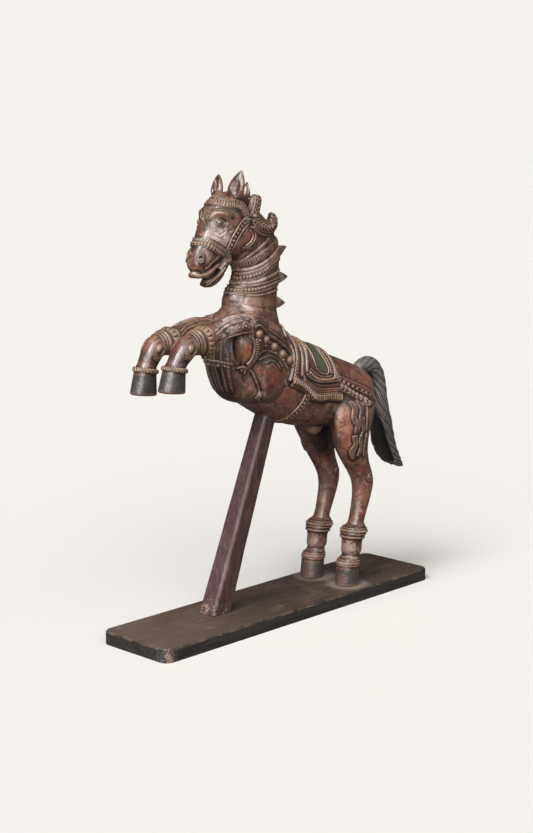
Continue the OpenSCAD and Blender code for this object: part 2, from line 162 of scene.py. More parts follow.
class Field:
    """Distances on a grid whose points lie at whole multiples of its step."""
    def __init__(self, low, high, step=STEP):
        self.step = step
        self.first = np.floor(np.array(low, float) / step).astype(int)
        size = np.ceil(np.array(high, float) / step).astype(int) - self.first + 1
        self.values = np.full(size, FAR, np.float32)

    def window(self, low, high):
        """The values between two corners, as a view, and the coordinates of their points."""
        a = np.floor(np.array(low, float) / self.step).astype(int) - self.first
        b = np.ceil(np.array(high, float) / self.step).astype(int) - self.first + 1
        a = np.clip(a, 0, self.values.shape)
        b = np.clip(b, a, self.values.shape)
        axes = [((np.arange(a[i], b[i]) + self.first[i]) * self.step).astype(np.float32) for i in range(3)]
        return self.values[a[0]:b[0], a[1]:b[1], a[2]:b[2]], np.meshgrid(*axes, indexing="ij", sparse=True)

    def add(self, shape, k=6):
        """Joins a shape on, blended over about k."""
        part, at = self.window(*shape.box)
        part[...] = soft_min(part, shape.distance(at), k)

    def cut(self, shape, k=3):
        """Takes a shape away, with its edge rounded over about k."""
        part, at = self.window(*shape.box)
        part[...] = -soft_min(-part, shape.distance(at), k)

    def blur(self, passes):
        v = self.values
        for _ in range(passes):
            for axis in range(3):
                v = (np.roll(v, 1, axis) + np.roll(v, -1, axis) + 2 * v) / 4
        self.values = v

    def finer(self, low, high, step):
        """The part of the field between two corners, on a finer grid."""
        out = Field(low, high, step)
        v = self.values
        for axis in range(3):
            at = (np.arange(out.values.shape[axis]) + out.first[axis]) * step / self.step - self.first[axis]
            i = np.clip(np.floor(at).astype(int), 0, v.shape[axis] - 2)
            f = np.clip(at - i, 0, 1).astype(np.float32).reshape([-1 if k == axis else 1 for k in range(3)])
            v = np.take(v, i, axis) * (1 - f) + np.take(v, i + 1, axis) * f
        out.values = v
        return out


class Blob:
    """An ellipsoid. Its own axes are turned by `pitch` in the XZ plane and then by `yaw` about Z."""
    def __init__(self, centre, radii, pitch=0, yaw=0):
        self.centre, self.radii = np.array(centre, float), np.array(radii, float)
        turn = Matrix.Rotation(math.radians(yaw), 3, "Z") @ Matrix.Rotation(math.radians(-pitch), 3, "Y")
        self.axes = np.array(turn.transposed())
        reach = self.radii.max() + FAR
        self.box = self.centre - reach, self.centre + reach

    def distance(self, at):
        rel = [a - c for a, c in zip(at, self.centre)]
        local = [sum(axis[i] * rel[i] for i in range(3)) for axis in self.axes]
        near = np.sqrt(sum((p / r) ** 2 for p, r in zip(local, self.radii)))
        steep = np.sqrt(sum((p / r ** 2) ** 2 for p, r in zip(local, self.radii)))
        return np.maximum(near * (near - 1) / np.maximum(steep, 1e-6), -FAR).astype(np.float32)


class Stroke:
    """A round-ended stroke along points, each given as [x, y, z, radius]."""
    def __init__(self, points, per=4):
        self.rows = spline(points, per) if len(points) > 2 else np.array(points, float)
        reach = self.rows[:, 3].max() + FAR
        self.box = self.rows[:, :3].min(0) - reach, self.rows[:, :3].max(0) + reach

    def distance(self, at):
        best = None
        for a, b in zip(self.rows[:-1], self.rows[1:]):
            d = b - a
            rel = [p - c for p, c in zip(at, a[:3])]
            t = np.clip(sum(rel[i] * d[i] for i in range(3)) / max((d[:3] ** 2).sum(), 1e-9), 0, 1)
            away = np.sqrt(sum((rel[i] - t * d[i]) ** 2 for i in range(3))) - (a[3] + t * d[3])
            best = away if best is None else np.minimum(best, away)
        return best.astype(np.float32)


def node_field(names, low, high, step=STEP):
    """The distance to some CAD nodes together, in the room between two corners."""
    points, tris, base = [], [], 0
    for name in names:
        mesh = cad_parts[name].data
        mesh.calc_loop_triangles()
        co = np.empty(len(mesh.vertices) * 3, np.float32)
        mesh.vertices.foreach_get("co", co)
        tri = np.empty(len(mesh.loop_triangles) * 3, np.int32)
        mesh.loop_triangles.foreach_get("vertices", tri)
        points.append(co.reshape(-1, 3) / MM)
        tris.append(tri.reshape(-1, 3) + base)
        base += len(points[-1])
    grid = openvdb.FloatGrid.createLevelSetFromPolygons(
        np.vstack(points).astype(np.float32), triangles=np.vstack(tris).astype(np.uint32),
        transform=openvdb.createLinearTransform(step), halfWidth=FAR / step)
    field = Field(low, high, step)
    grid.copyToArray(field.values, ijk=tuple(int(i) for i in field.first))
    return field


def surface(field):
    """The field's zero surface, as points and quads."""
    grid = openvdb.FloatGrid(FAR)
    grid.copyFromArray(field.values)
    points, quads = grid.convertToQuads(0.0)
    return (points + field.first) * field.step, quads.astype(np.int64)


# ---- The body: the CAD blocks blended together, then carved ----

# The barrel's slope and the height of its axis over the origin
SLOPE = 22.7
PITCH = math.radians(SLOPE)
AXIS_Z = 453
BLOCKS = ["torso", "neck", "head", "foreleg_left_upper", "foreleg_left_lower", "foreleg_right_upper",
          "foreleg_right_lower", "hindleg_left", "hindleg_right", "tail"]
PEGS = ["neck_dowels", "head_dowels", "shoulder_dowels", "knee_dowels", "hip_dowels", "tail_dowel",
        "base_screws", "ear_pegs", "crest_peg", "bow_pegs", "mane_pegs"]
# Grid steps of the carved blocks, how far they reach past their joint faces, and the room round a dowel
FINE_STEP = {"torso": 1.6, "neck": 1.5, "head": 1.1, "tail": 1.5}
LEG_STEP = 1.3
OVERLAP = 0.6
BORE_GAP = 0.15


def trunk(s, p, y=0.0):
    """A point from the barrel's own frame: s toward the tail, p toward the back."""
    return np.array([s * math.cos(PITCH) + p * math.sin(PITCH), y,
                     AXIS_Z - s * math.sin(PITCH) + p * math.cos(PITCH)])


def blended_body():
    """The whole body's field, and for each block how far each point lies beyond its joint faces."""
    low, high = (np.array(corner) / MM for corner in CAD_BOX)
    room = low - 6, high + 6
    blocks = {name: node_field([name], *room).values for name in BLOCKS}
    nearest = np.full_like(blocks["torso"], FAR)
    second = nearest.copy()
    for d in blocks.values():
        second = np.minimum(second, np.maximum(nearest, d))
        nearest = np.minimum(nearest, d)
    clear_of_barrel = np.minimum.reduce([d for name, d in blocks.items() if name != "torso"])
    body = Field(*room)
    pegs = node_field(PEGS + ["prop_post"], *room)
    body.values = np.minimum(nearest, np.where(nearest < FAR - 2, pegs.values + 0.6, FAR))
    body.blur(2)
    softer = Field(*room)
    softer.values = body.values
    softer.blur(8)
    share = smooth((clear_of_barrel - 2) / 9).astype(np.float32)
    body.values = body.values * (1 - share) + softer.values * share
    beyond = {}
    for name, d in blocks.items():
        beyond[name] = Field(*room)
        beyond[name].values = (d - np.where(d <= nearest, second, nearest)) / 2
    return body, beyond


# The hollow up the left of the tail, and nicks along its ragged edge as (x, z)
TAIL_HOLLOW = Stroke([(272, -8, 372, 6), (270, -12, 345, 13), (278, -15, 313, 19), (291, -14, 285, 19),
                      (308, -12, 262, 16), (334, -8, 238, 8)])
TAIL_NICKS = [(272, 288), (280, 272), (289, 260), (301, 251), (313, 243), (330, 234), (349, 228)]


def large_forms():
    """Shapes to add to the body and shapes to cut from it, each with the width of its blend."""
    add, cut = [], []
    for s in SIDES:
        add += [
            # Brow, muzzle, rolled upper lip and jowl
            (Stroke([(-183, s * 8, 752, 4), (-175, s * 17, 762, 5), (-165, s * 25, 763, 5),
                     (-152, s * 30, 759, 4)]), 6),
            (Blob((-198, s * 12, 688), (12, 8, 12)), 8),
            (Stroke([(-213, 0, 657, 5.5), (-211, s * 6, 656, 5.5), (-206, s * 12, 655, 4.6),
                     (-196, s * 16, 657, 4), (-183, s * 17, 664, 3.6), (-168, s * 16, 672, 3)]), 3),
            (Blob((-103, s * 30, 722), (19, 7, 21)), 8),
            # Point of the shoulder, shoulder blade, rib cage and thigh
            (Blob((-120, s * 50, 562 if s == LEFT else 552), (19, 17, 20)), 10),
            (Blob((-140, s * 50, 522), (13, 13, 28), 15), 6),
            (Blob((-80, s * 44, 466), (34, 18, 44), -15), 14),
            (Blob((142, s * 54, 356), (34, 17, 42)), 12),
        ]
        cut += [
            (Blob((-172, s * 32, 748), (12, 6, 8)), 4),
            (Blob((-213, s * 20, 687), (5, 6, 4.5)), 2),
            # The crease between the shoulder and the ribs
            (Stroke([(-124, s * 60, 486, 4), (-112, s * 61, 464, 4), (-100, s * 56, 443, 3.5)]), 8),
        ]
    add += [
        (Stroke([(-148, 0, 656, 9), (-161, 0, 646, 9.5), (-174, 0, 641, 9), (-184, 0, 640, 7)]), 4),
        (Stroke([(86, 0, 352, 8), (104, 0, 341, 14), (122, 0, 348, 8)]), 6),
    ]
    cut += [
        (Blob((-178, 0, 661), (23, 13, 5), 32), 2),
        (Blob((-201, 0, 635), (13, 18, 13)), 3),
        (Blob((-174, 0, 656), (17, 30, 3.5), 32), 2),
        (Blob((-122, 54, 600), (34, 24, 24)), 8),
        (TAIL_HOLLOW, 2),
        *((Blob((x, 0, z), (3.2, 22, 5.5), 45), 1) for x, z in TAIL_NICKS),
    ]
    last = [(Stroke([(-158, 0, 664, 5), (-170, 0, 657, 5.5), (-181, 0, 650, 5)]), 1.5)]
    return add, cut, last


def block_surface(name, body, beyond, forms):
    """One block cut out of the blended body, carved, with its bores open for the dowels."""
    low, high = (np.array(corner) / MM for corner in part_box(name))
    room = low - 8, high + 8
    step = FINE_STEP.get(name, LEG_STEP)
    field = body.finer(*room, step)
    field.blur(1)
    add, cut, last = forms
    for shape, k in add:
        field.add(shape, k)
    for shape, k in cut:
        field.cut(shape, k)
    for shape, k in last:
        field.add(shape, k)
    field.values = np.maximum(field.values, beyond[name].finer(*room, step).values - OVERLAP)
    bores = node_field(PEGS + ["prop_post"], *room, step)
    field.values = np.maximum(field.values, BORE_GAP - bores.values)
    return surface(field)


def small_surface(name, step=0.9, cut=()):
    """A small piece from its own CAD solid, carved on a fine grid."""
    low, high = (np.array(corner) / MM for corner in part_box(name))
    room = low - 6, high + 6
    field = node_field([name], *room, step)
    field.blur(1)
    for shape, k in cut:
        field.cut(shape, k)
    bores = node_field(PEGS, *room, step)
    field.values = np.maximum(field.values, BORE_GAP - bores.values)
    return surface(field)


# ---- Pieces: points, faces and what the paint has done at each point ----

class Piece:
    """A growing closed mesh. Each point has a paint colour with its strength, and a share of gilding."""
    def __init__(self, points, quads):
        self.points = np.asarray(points, float)
        self.faces = [np.asarray(quads, int)]
        self.paint = np.zeros((len(points), 4))
        self.gild = np.zeros(len(points))
        # Painted shade, with some smudge, under and beside trim and in hollows
        self.shade_and_smudge = np.zeros(len(points))
        self.count = len(points)
        # How strongly trim lays its painted shade on this block
        self.trim_darkening = 1.0
        self.grown = self.normals()

    def set_skin(self):
        """Keeps the surface as it is now, for trim to be laid on."""
        self.skin = Skin(self.points, self.faces[0])

    def cast(self, starts, way, reach):
        """Where rays from the start points first meet the kept surface, all going one way."""
        return self.skin.land(np.array(starts, float), np.tile(way, (len(starts), 1)), reach)

    def brushes(self, side, *rows):
        """Dabs of paint on one side, each (centre, radii, colour, strength)."""
        for (x, y, z), radii, colour, strength in rows:
            self.brush((x, side * y, z), radii, colour, strength)

    def normals(self):
        n = np.zeros((len(self.points), 3))
        for f in self.faces:
            across = np.cross(self.points[f[:, 2]] - self.points[f[:, 0]],
                              self.points[f[:, -1]] - self.points[f[:, 1]])
            for k in range(f.shape[1]):
                for axis in range(3):
                    n[:, axis] += np.bincount(f[:, k], across[:, axis], len(n))
        return unit(n)

    def join(self, points, faces, paint=None, gild=0.0):
        """Adds more mesh. faces is a list of arrays, each with one number of corners."""
        base = len(self.points)
        self.points = np.vstack([self.points, points])
        self.faces += [np.asarray(f, int) + base for f in faces if len(f)]
        colour = (0, 0, 0, 0) if paint is None else (*paint[:3], paint[3] if len(paint) > 3 else 1.0)
        self.paint = np.vstack([self.paint, np.broadcast_to(colour, (len(points), 4))])
        self.gild = np.concatenate([self.gild, np.broadcast_to(gild, len(points))])
        self.shade_and_smudge = np.concatenate([self.shade_and_smudge, np.zeros(len(points))])

    def push(self, amount):
        """Moves the block's own points out along their normals."""
        self.points[:self.count] += self.grown * np.asarray(amount)[:, None]

    def wash(self, weight, colour):
        """Paints by a weight for each point of the whole piece."""
        keep = self.paint[:, 3] * (1 - weight)
        total = np.maximum(keep + weight, 1e-6)
        mixed = self.paint[:, :3] * keep[:, None] + np.array(colour) * weight[:, None]
        self.paint[:, :3] = mixed / total[:, None]
        self.paint[:, 3] = keep + weight

    def brush(self, centre, radius, colour, strength=1.0, edge=0.5):
        """Paints a soft round patch. radius may be three numbers, one for each axis."""
        away = np.linalg.norm((self.points - np.array(centre, float)) / radius, axis=1)
        self.wash(smooth((1 - away) / edge) * strength, colour)

    def away(self, route, reach):
        """Which of the block's own points lie near a route, and how far off."""
        p = self.points[:self.count]
        near = np.flatnonzero(((p > route.min(0) - reach) & (p < route.max(0) + reach)).all(1))
        far = np.full(len(near), 1e3)
        for part in np.array_split(np.arange(len(near)), len(near) // 3000 + 1):
            q = p[near[part]]
            square = (q ** 2).sum(1)[:, None] + (route ** 2).sum(1)[None] - 2 * q @ route.T
            far[part] = np.sqrt(np.clip(square.min(1), 0, None))
        return near, far

    def score(self, route, depth, width, closed=False):
        """Presses a soft groove along a route into the block's own surface. Negative raises a ridge."""
        route, _ = evenly(spline(route, 6, closed), 1.0, closed)
        near, far = self.away(route, 3 * width)
        self.points[near] -= self.grown[near] * (depth * np.exp(-(far / width) ** 2))[:, None]

    def darken_round_trim(self, route, half):
        """Paints shade, with some smudge, on the block's own surface under and beside a piece of trim."""
        near, far = self.away(route, half + 5)
        self.shade_and_smudge[near] = np.maximum(self.shade_and_smudge[near], smooth((half + 4.5 - far) / 2.6) * self.trim_darkening)


def neighbour_mean(count, edges, values):
    """For each point, the mean of the values at the points that its edges lead to."""
    total = np.zeros_like(values)
    a, b = edges[:, 0], edges[:, 1]
    for axis in range(values.shape[1]):
        total[:, axis] = (np.bincount(a, values[b, axis], count) + np.bincount(b, values[a, axis], count))
    degree = np.bincount(a, minlength=count) + np.bincount(b, minlength=count)
    return total / np.maximum(degree, 1)[:, None]


def place_in_scene(name, data):
    obj = bpy.data.objects.new(name, data)
    bpy.context.scene.collection.objects.link(obj)
    return obj


def build(name, piece, material, replaces):
    """Makes the Blender object for a piece, with its attributes, and ties it to the frame.

    Fine and Broad say how far each point lies in a hollow, over a short and a longer distance."""
    mesh = bpy.data.meshes.new(name)
    corners = np.concatenate([f.ravel() for f in piece.faces])
    sizes = np.concatenate([np.full(len(f), f.shape[1]) for f in piece.faces])
    mesh.vertices.add(len(piece.points))
    mesh.vertices.foreach_set("co", (piece.points * MM).astype(np.float32).ravel())
    mesh.loops.add(len(corners))
    mesh.loops.foreach_set("vertex_index", corners.astype(np.int32))
    mesh.polygons.add(len(sizes))
    mesh.polygons.foreach_set("loop_start", (np.cumsum(sizes) - sizes).astype(np.int32))
    mesh.polygons.foreach_set("use_smooth", np.ones(len(sizes), bool))
    mesh.update(calc_edges=True)
    mesh.validate()
    edges = np.empty(len(mesh.edges) * 2, np.int32)
    mesh.edges.foreach_get("vertices", edges)
    edges = edges.reshape(-1, 2)
    count = len(piece.points)
    normals = piece.normals()
    relaxed = piece.points
    hollow = []
    for passes in (2, 10):
        for _ in range(passes):
            relaxed = neighbour_mean(count, edges, relaxed)
        hollow.append(((relaxed - piece.points) * normals).sum(1))
    # The last attribute carries painted shade, with some smudge, beside trim and in the tail's hollow
    for label, values in (("Fine", hollow[0]), ("Broad", hollow[1]), ("Gild", piece.gild),
                          ("ShadeAndSmudge", piece.shade_and_smudge)):
        mesh.attributes.new(label, "FLOAT", "POINT").data.foreach_set("value", values.astype(np.float32))
    mesh.attributes.new("Paint", "FLOAT_COLOR", "POINT").data.foreach_set(
        "color", piece.paint.astype(np.float32).ravel())
    obj = place_in_scene(name, mesh)
    mesh.materials.append(material)
    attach(obj, "root")
    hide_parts(replaces)


# ---- Trim: ribbons and medals laid on a surface ----

class Skin:
    """The surface that trim is laid on."""
    def __init__(self, points, quads):
        self.tree = BVHTree.FromPolygons(points.tolist(), quads.tolist())

    def land(self, starts, headings, reach):
        """Where rays first meet the surface. A ray that misses takes the nearest point to its middle."""
        found = []
        for a, d in zip(starts.tolist(), headings.tolist()):
            hit = self.tree.ray_cast(a, d, reach)[0]
            if hit is None:
                hit = self.tree.find_nearest([p + q * reach / 2 for p, q in zip(a, d)])[0]
            found.append(tuple(hit))
        return np.array(found)

    def near(self, points):
        """The nearest surface points, and the normals there."""
        rows = [self.tree.find_nearest(p)[:2] for p in np.asarray(points, float).tolist()]
        return np.array([tuple(r[0]) for r in rows]), np.array([tuple(r[1]) for r in rows])


class Wrap:
    """Coordinates round a block: u along it, and an angle round it from the block's own zero line."""
    def __init__(self, skin, rows):
        self.skin, self.rows = skin, np.array(rows, float)

    def place(self, marks, side=LEFT):
        marks = np.array(marks, float)
        u, x, z, heading = self.rows.T
        at = marks[:, 0]
        heading = np.radians(np.interp(at, u, heading))
        turn = np.radians(marks[:, 1])
        centre = np.stack([np.interp(at, u, x), 0 * at, np.interp(at, u, z)], 1)
        out = np.stack([-np.sin(heading) * np.cos(turn), side * np.sin(turn),
                        np.cos(heading) * np.cos(turn)], 1)
        return self.skin.land(centre + 130 * out, -out, 130)

    def around(self, marks):
        """A closed route: the marks down one side from 0 to 180 degrees, and back up the other."""
        return np.vstack([self.place(marks, LEFT), self.place(marks[1:-1][::-1], RIGHT)])

    def over(self, marks):
        """An open route from the far side to the near side. The last mark is on the middle line."""
        return np.vstack([self.place(marks[:-1], RIGHT), self.place(marks[::-1], LEFT)])


def hoop(skin, centre, axis, reach=45, count=40):
    """The route round a limb where a plane across it meets its surface."""
    axis = unit(np.array(axis, float))
    one = unit(np.cross(axis, (0, 1, 0)))
    two = np.cross(axis, one)
    turn = np.radians(np.linspace(0, 360, count + 1))[:-1]
    out = np.cos(turn)[:, None] * one + np.sin(turn)[:, None] * two
    return skin.land(np.array(centre, float) + out * reach, -out, reach)


# How far above the surface trim is cast down from, and how deep its edges are sunk in
LIFT = 10.0
SINK = 1.2


def sheet_faces(n, m, closed):
    """Faces of a strip n points long and m across, with its underside and ends closed."""
    i = np.arange(n if closed else n - 1)[:, None]
    k = (i + 1) % n
    j = np.arange(m - 1)[None, :]
    top = np.stack([i * m + j, k * m + j, k * m + j + 1, i * m + j + 1], -1).reshape(-1, 4)
    under = np.stack([i * m, i * m + m - 1, k * m + m - 1, k * m], -1).reshape(-1, 4)
    ends = [] if closed else [np.arange(m)[None, :], ((n - 1) * m + np.arange(m))[None, ::-1]]
    return [top, under] + ends


def ribbon(piece, route, half, pattern, closed=False, paint=None, gild=0.0, fine=0.95, lift=LIFT):
    """Lays a carved strip along a route. half is half its width, or a row of them along the route."""
    path, length = evenly(spline(route, 6, closed), fine, closed)
    path, normal = piece.skin.near(path)
    n = len(path)
    before = (np.arange(n) - 1) % n if closed else np.maximum(np.arange(n) - 1, 0)
    after = (np.arange(n) + 1) % n if closed else np.minimum(np.arange(n) + 1, n - 1)
    for turn in range(5):
        normal = unit(normal[before] + normal + normal[after])
        if turn < 2:
            path = (path[before] + 2 * path + path[after]) / 4
    ahead = unit(path[after] - path[before])
    across = unit(np.cross(normal, ahead))
    normal = np.cross(ahead, across)
    t = np.arange(n) * length / n
    halves = np.atleast_1d(np.array(half, float))
    half = np.interp(np.linspace(0, 1, n), np.linspace(0, 1, len(halves)), halves)
    m = max(int(2 * half.max() / fine) + 1, 5)
    v = np.concatenate([[-1], np.linspace(-1, 1, m), [1]])
    m += 2
    spread = across[:, None] * (v[None, :, None] * half[:, None, None])
    starts = (path[:, None] + spread + normal[:, None] * lift).reshape(-1, 3)
    down = np.repeat(-normal, m, axis=0)
    landed = piece.skin.land(starts, down, 2 * lift).reshape(n, m, 3)
    high = np.broadcast_to(pattern(t[:, None], v[None, :], half[:, None], length), (n, m)).copy()
    high[:, [0, -1]] = -SINK
    if not closed:
        high[[0, -1]] = -SINK
    points = (landed + normal[:, None] * high[..., None]).reshape(-1, 3)
    piece.darken_round_trim(path[::2], half.max())
    piece.join(points, sheet_faces(n, m, closed), paint, gild)


def medal(piece, centre, radius, pattern, toward=(0, 0, 1), stretch=1.0, paint=None, gild=0.0,
          fine=0.9, lift=LIFT):
    """Lays a carved round boss. stretch makes it longer the way that `toward` points."""
    centre, normal = (rows[0] for rows in piece.skin.near([centre]))
    one = unit(np.cross(normal, (0.3, 1, 0.2)))
    two = np.cross(normal, one)
    ring = [centre + radius * 0.7 * (math.cos(a) * one + math.sin(a) * two)
            for a in np.arange(6) * math.pi / 3]
    normal = unit(piece.skin.near(ring)[1].sum(0) + normal)
    toward = np.array(toward, float)
    one = unit(toward - normal * (toward @ normal))
    two = np.cross(normal, one)
    rings = max(int(radius / fine), 4)
    spokes = max(int(2 * math.pi * radius / fine), 18)
    r = np.concatenate([np.linspace(0, 1, rings + 1)[1:], [1.0]])[:, None]
    a = (np.arange(spokes) * 2 * math.pi / spokes)[None]
    spread = (r * np.cos(a) * radius * stretch)[..., None] * one + (r * np.sin(a) * radius)[..., None] * two
    starts = np.vstack([centre[None], (centre + spread).reshape(-1, 3)]) + normal * lift
    landed = piece.skin.land(starts, np.broadcast_to(-normal, starts.shape), 2 * lift)
    high = np.broadcast_to(pattern(r, a), (len(r), spokes)).copy()
    high[-1] = -SINK
    top = float(np.mean(pattern(np.zeros((1, 1)), a)))
    landed += normal * np.concatenate([[top], high.ravel()])[:, None]
    i = np.arange(spokes)
    k = (i + 1) % spokes
    fan = np.stack([0 * i, 1 + i, 1 + k], 1)
    walls = [np.stack([1 + b * spokes + i, 1 + (b + 1) * spokes + i, 1 + (b + 1) * spokes + k,
                       1 + b * spokes + k], 1) for b in range(len(r) - 1)]
    under = (1 + (len(r) - 1) * spokes + i)[None, ::-1]
    piece.darken_round_trim(centre[None], radius * (1 + stretch) / 2)
    piece.join(landed, [fan, np.vstack(walls), under], paint, gild)


# Strip patterns give a height for t along the strip in mm and v across it from -1 to 1.

def phase(t, length, pitch):
    """How far t is through its repeat, from 0 to 1, with a whole number of repeats in the length."""
    return t * max(round(length / pitch), 1) / length % 1


def pipe(high):
    return lambda t, v, half, length: high * np.sqrt(np.clip(1 - v * v, 0, 1)) + 0 * t


def beads(high, pitch, base=0.5):
    def shape(t, v, half, length):
        a = 2 * phase(t, length, pitch) - 1
        return base + high * np.sqrt(np.clip(1 - a * a - v * v, 0, 1))
    return shape


def ribs(high, pitch, base=0.5, slant=0.0, bow=0.0):
    """Bars across the strip, leaned by `slant` and bent into chevrons by `bow`."""
    def shape(t, v, half, length):
        a = phase(t + slant * v * half + bow * abs(v) * half, length, pitch)
        return base + high * np.sin(math.pi * a) ** 0.8 * np.clip(1.6 * (1 - v * v), 0, 1) ** 0.5
    return shape


def diamonds(high, pitch, base=0.4):
    def shape(t, v, half, length):
        a = 2 * phase(t, length, pitch) - 1
        return base + high * np.clip(1.5 * (1 - abs(a) - abs(v)), 0, 1)
    return shape


def pits(high, pitch, base=0.2):
    """A raised strip with a row of square holes sunk in it."""
    def shape(t, v, half, length):
        a = 2 * phase(t, length, pitch) - 1
        hole = smooth((0.72 - abs(a)) / 0.2) * smooth((0.62 - abs(v)) / 0.25)
        return base + high * (1 - hole)
    return shape


def petals(high, pitch, base=0.8):
    """Fat leaves side by side, rising toward one edge, each with a split down its middle."""
    def shape(t, v, half, length):
        a = 2 * phase(t, length, pitch) - 1
        leaf = np.sqrt(np.clip(1 - a * a, 0, 1)) * smooth(1.2 * (1 - v)) * (0.55 + 0.45 * smooth(v + 1))
        return base + high * leaf - 0.5 * np.exp(-(a / 0.2) ** 2) * (abs(v) < 0.6)
    return shape


def framed(inner, rim, share=0.22):
    """A pattern between two raised rims, each taking `share` of the half width."""
    def shape(t, v, half, length):
        edge = (abs(v) - (1 - share / 2)) / (share / 2)
        rail = rim * np.sqrt(np.clip(1 - edge * edge, 0, 1))
        within = inner(t, np.clip(v / (1 - share), -1, 1), half, length)
        return np.where(abs(v) > 1 - share, np.maximum(rail, 0.2), within)
    return shape


def stacked(*rows):
    """Patterns side by side across one strip, each given as (share of the width, pattern)."""
    def shape(t, v, half, length):
        high, edge = 0, -1.0
        for share, pattern in rows:
            inside = (v >= edge) & (v <= edge + 2 * share)
            local = np.clip((v - edge) / share - 1, -1, 1)
            high = np.where(inside, pattern(t, local, half * share, length), high)
            edge += 2 * share
        return high
    return shape


# Boss patterns give a height for r from 0 at the middle to 1 at the rim, and the angle a.

def dome(high, power=0.5):
    return lambda r, a: high * np.clip(1 - r * r, 0, 1) ** power + 0 * a


def rosette(high, leaves=6):
    def shape(r, a):
        leaf = 0.55 + 0.45 * np.abs(np.cos(a * leaves / 2))
        outer = high * 0.62 * np.sqrt(np.clip(1 - (r / leaf) ** 2, 0, 1))
        return 0.4 + np.maximum(outer, high * np.sqrt(np.clip(1 - (r / 0.38) ** 2, 0, 1)))
    return shape


def target(high, rings=2, boss=0.5):
    """A dome in the middle with rings round it."""
    def shape(r, a):
        middle = high * np.sqrt(np.clip(1 - (r / boss) ** 2, 0, 1))
        wave = 0.5 * high * np.abs(np.sin(math.pi * rings * (r - boss) / (1 - boss)))
        return np.where(r < boss, middle, wave) + 0.3 + 0 * a
    return shape


def knop(high):
    """A square-cut stud with a bright middle."""
    def shape(r, a):
        wide = 0.72 + 0.28 * np.abs(np.cos(2 * a)) ** 0.5
        return 0.3 + high * np.clip(1.6 * (1 - r / wide), 0, 1) ** 0.6
    return shape


def between(top, bottom, count=24):
    """The middle route and half widths of a strip that fills the room between two routes."""
    a, _ = evenly(spline(top, 6), 1.0)
    b, _ = evenly(spline(bottom, 6), 1.0)
    t = np.linspace(0, 1, count)
    a = np.stack([np.interp(t, np.linspace(0, 1, len(a)), a[:, k]) for k in range(3)], 1)
    b = np.stack([np.interp(t, np.linspace(0, 1, len(b)), b[:, k]) for k in range(3)], 1)
    return (a + b) / 2, np.linalg.norm(a - b, axis=1) / 2


# ---- The head ----

# A block's own line as (u along it, x, z, the heading of its zero angle in degrees)
HEAD_LINE = [(0, -87, 723, 150), (20, -104, 742, 172), (40, -124, 742, 190), (64, -146, 731, 208),
             (87, -164, 717, 220), (109, -180, 702, 224), (127, -193, 690, 224), (142, -203, 680, 224),
             (153, -210, 671, 224), (160, -216, 664, 224)]
NECK_LINE = [(0, -64.5, 568, 67.3), (25, -75, 597, 76), (52, -68, 622, 86), (78, -60, 648, 95),
             (106, -57, 676, 108), (135, -65, 704, 130), (165, -87, 723, 150)]
TRUNK_LINE = [(s, *trunk(s, 0)[[0, 2]], -SLOPE) for s in (-200, 260)]
# Lines of the left of the face, mirrored for the right. y is how far each point is from the middle
JOWL = [[(-105, 35, 743), (-95, 36, 736), (-87, 34, 722), (-93, 32, 709), (-104, 29, 700), (-116, 26, 695)],
        [(-106, 34, 738), (-98, 34, 731), (-94, 33, 721), (-99, 32, 711), (-108, 29, 704), (-119, 28, 700)],
        [(-108, 34, 732), (-103, 34, 726), (-101, 33, 719), (-106, 32, 711), (-114, 29, 706)]]
BROW = [(-186, 7, 752), (-181, 11, 763), (-174, 17, 767), (-166, 25, 768), (-155, 30, 765), (-148, 34, 755)]
NOSTRIL = [(-200, 17, 704), (-209, 14, 701), (-215, 13, 691), (-214, 13, 680), (-209, 16, 672),
           (-200, 20, 670), (-191, 22, 675)]
LIP = [(-215, 9, 664), (-210, 14, 662), (-202, 19, 662), (-188, 20, 671), (-176, 20, 680), (-168, 20, 688)]


def handed(rows, side):
    """Points given by their distance from the middle, put on one side."""
    return [(x, side * y, z) for x, y, z in rows]


def turns(count):
    """Angles evenly round a circle."""
    return np.linspace(0, 2 * math.pi, count + 1)[:-1]


